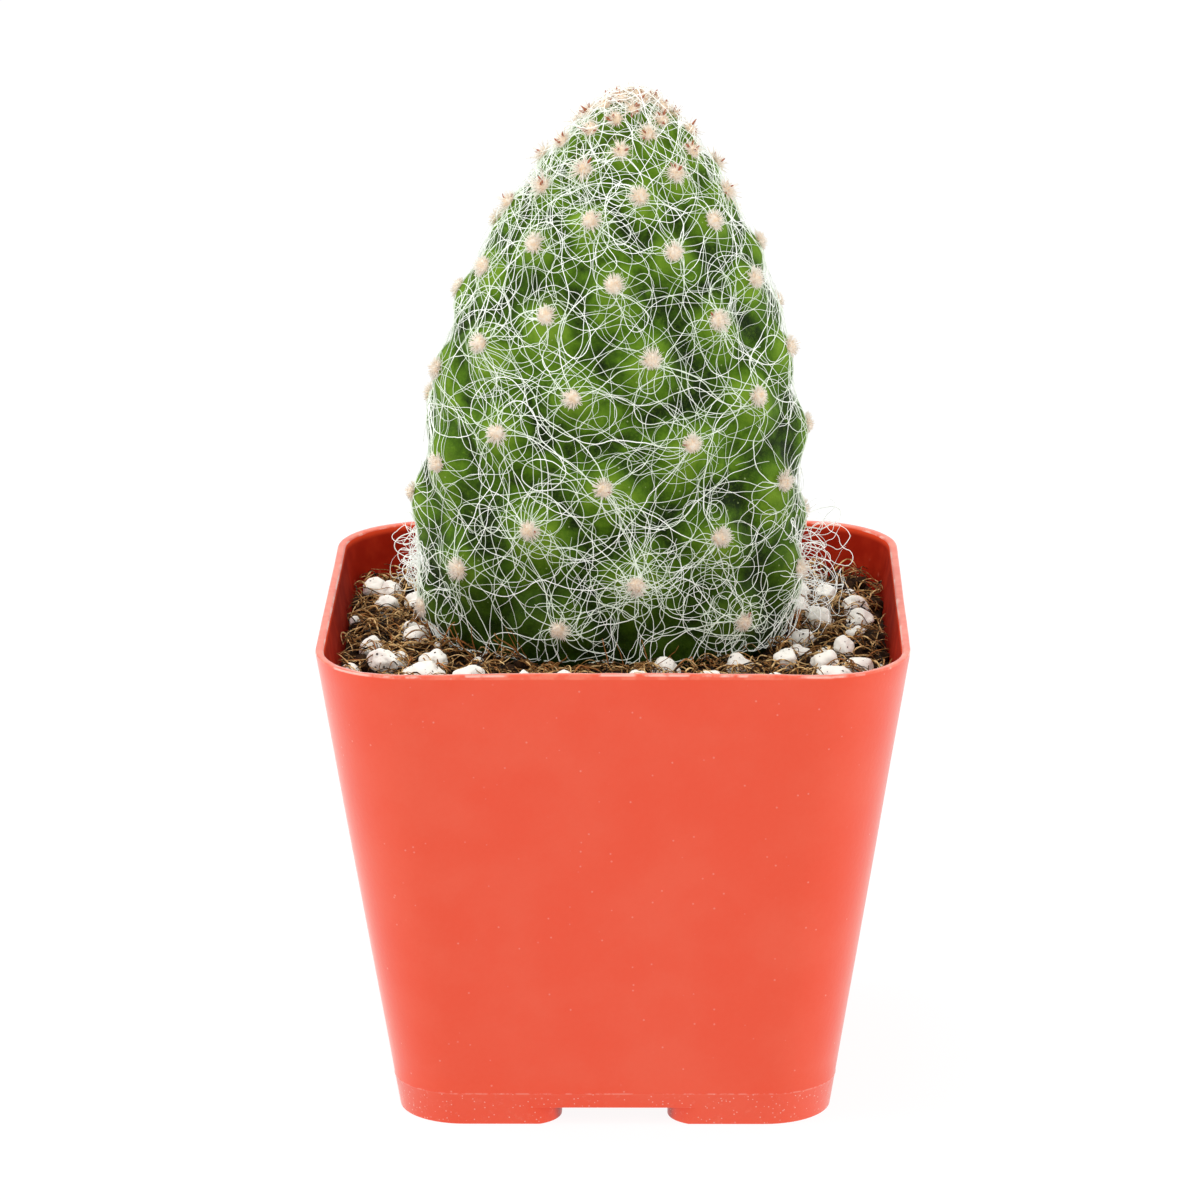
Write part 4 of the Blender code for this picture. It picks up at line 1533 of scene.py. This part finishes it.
def studio_world(strength):
    """Even light from all round, seen by the camera as plain white."""
    world = bpy.data.worlds.new("studio")
    world.use_nodes = True
    nodes, links = world.node_tree.nodes, world.node_tree.links
    light, seen = nodes["Background"], nodes.new("ShaderNodeBackground")
    for node, bright in ((light, strength), (seen, 1.0)):
        node.inputs["Color"].default_value = (1, 1, 1, 1)
        node.inputs["Strength"].default_value = bright
    choice = nodes.new("ShaderNodeMixShader")
    ray = nodes.new("ShaderNodeLightPath")
    links.new(ray.outputs["Is Camera Ray"], choice.inputs[0])
    links.new(light.outputs[0], choice.inputs[1])
    links.new(seen.outputs[0], choice.inputs[2])
    links.new(choice.outputs[0], nodes["World Output"].inputs[0])
    return world


def camera_object(settings):
    """The camera, with its lens, place, aim and roll."""
    data = bpy.data.cameras.new("camera")
    data.sensor_width = 36.0
    data.lens = settings.lens
    data.clip_start = 0.01
    data.clip_end = 50.0
    camera = bpy.data.objects.new("camera", data)
    place = Vector(settings.camera_place)
    aim = (Vector(settings.camera_target) - place).to_track_quat("-Z", "Y")
    camera.location = place
    camera.rotation_mode = "QUATERNION"
    camera.rotation_quaternion = aim @ Quaternion((0, 0, 1), settings.camera_roll)
    return camera


class PEAR_OT_stage(Operator):
    """Set up the pale floor, the soft lights and the camera"""

    bl_idname = "pear.stage"
    bl_label = "Stage"

    def execute(self, context):
        settings = context.scene.pear_stage
        scene = context.scene
        bm = bmesh.new()
        bmesh.ops.create_grid(bm, x_segments=1, y_segments=1, size=FLOOR_HALF)
        floor = helper("floor", bm)
        floor.data.materials.append(floor_finish(settings))
        scene.collection.objects.link(floor)
        scene.world = studio_world(settings.sky)
        for name, (place, width, height, power) in SOFTBOXES.items():
            softbox(name, place, width, height, power)
        scene.camera = camera_object(settings)
        scene.collection.objects.link(scene.camera)
        scene.view_settings.view_transform = "Standard"
        return {"FINISHED"}


class PEAR_PT_panel(Panel):
    """The pieces and their settings, in the sidebar"""

    bl_idname = "PEAR_PT_panel"
    bl_label = "Prickly Pear"
    bl_space_type = "VIEW_3D"
    bl_region_type = "UI"
    bl_category = "Prickly Pear"

    def draw(self, context):
        for group, operators in GROUPS.items():
            box = self.layout.box()
            for operator in operators:
                box.operator(operator.bl_idname)
            settings = getattr(context.scene, group)
            for name in settings.__annotations__:
                box.prop(settings, name)


GROUPS = {
    "pear_stage": (PEAR_OT_stage,),
    "pear_pot": (PEAR_OT_pot,),
    "pear_soil": (PEAR_OT_soil, PEAR_OT_fibres),
    "pear_pad": (PEAR_OT_skin,),
    "pear_spines": (PEAR_OT_tufts, PEAR_OT_scales, PEAR_OT_hairs),
}
SETTINGS = {
    "pear_stage": StageSettings,
    "pear_pot": PotSettings,
    "pear_soil": SoilSettings,
    "pear_pad": PadSettings,
    "pear_spines": SpineSettings,
}
CLASSES = (
    *SETTINGS.values(),
    *(operator for operators in GROUPS.values() for operator in operators),
    PEAR_PT_panel,
)


def register():
    """Make the settings, operators and panel known to Blender."""
    for each in CLASSES:
        bpy.utils.register_class(each)
    for name, group in SETTINGS.items():
        setattr(bpy.types.Scene, name, PointerProperty(type=group))


def unregister():
    """Take them out again."""
    for name in SETTINGS:
        delattr(bpy.types.Scene, name)
    for each in reversed(CLASSES):
        bpy.utils.unregister_class(each)


def main():
    """Build the whole scene."""
    register()
    for operators in GROUPS.values():
        for operator in operators:
            group, name = operator.bl_idname.split(".")
            getattr(getattr(bpy.ops, group), name)()


if __name__ == "__main__":
    main()
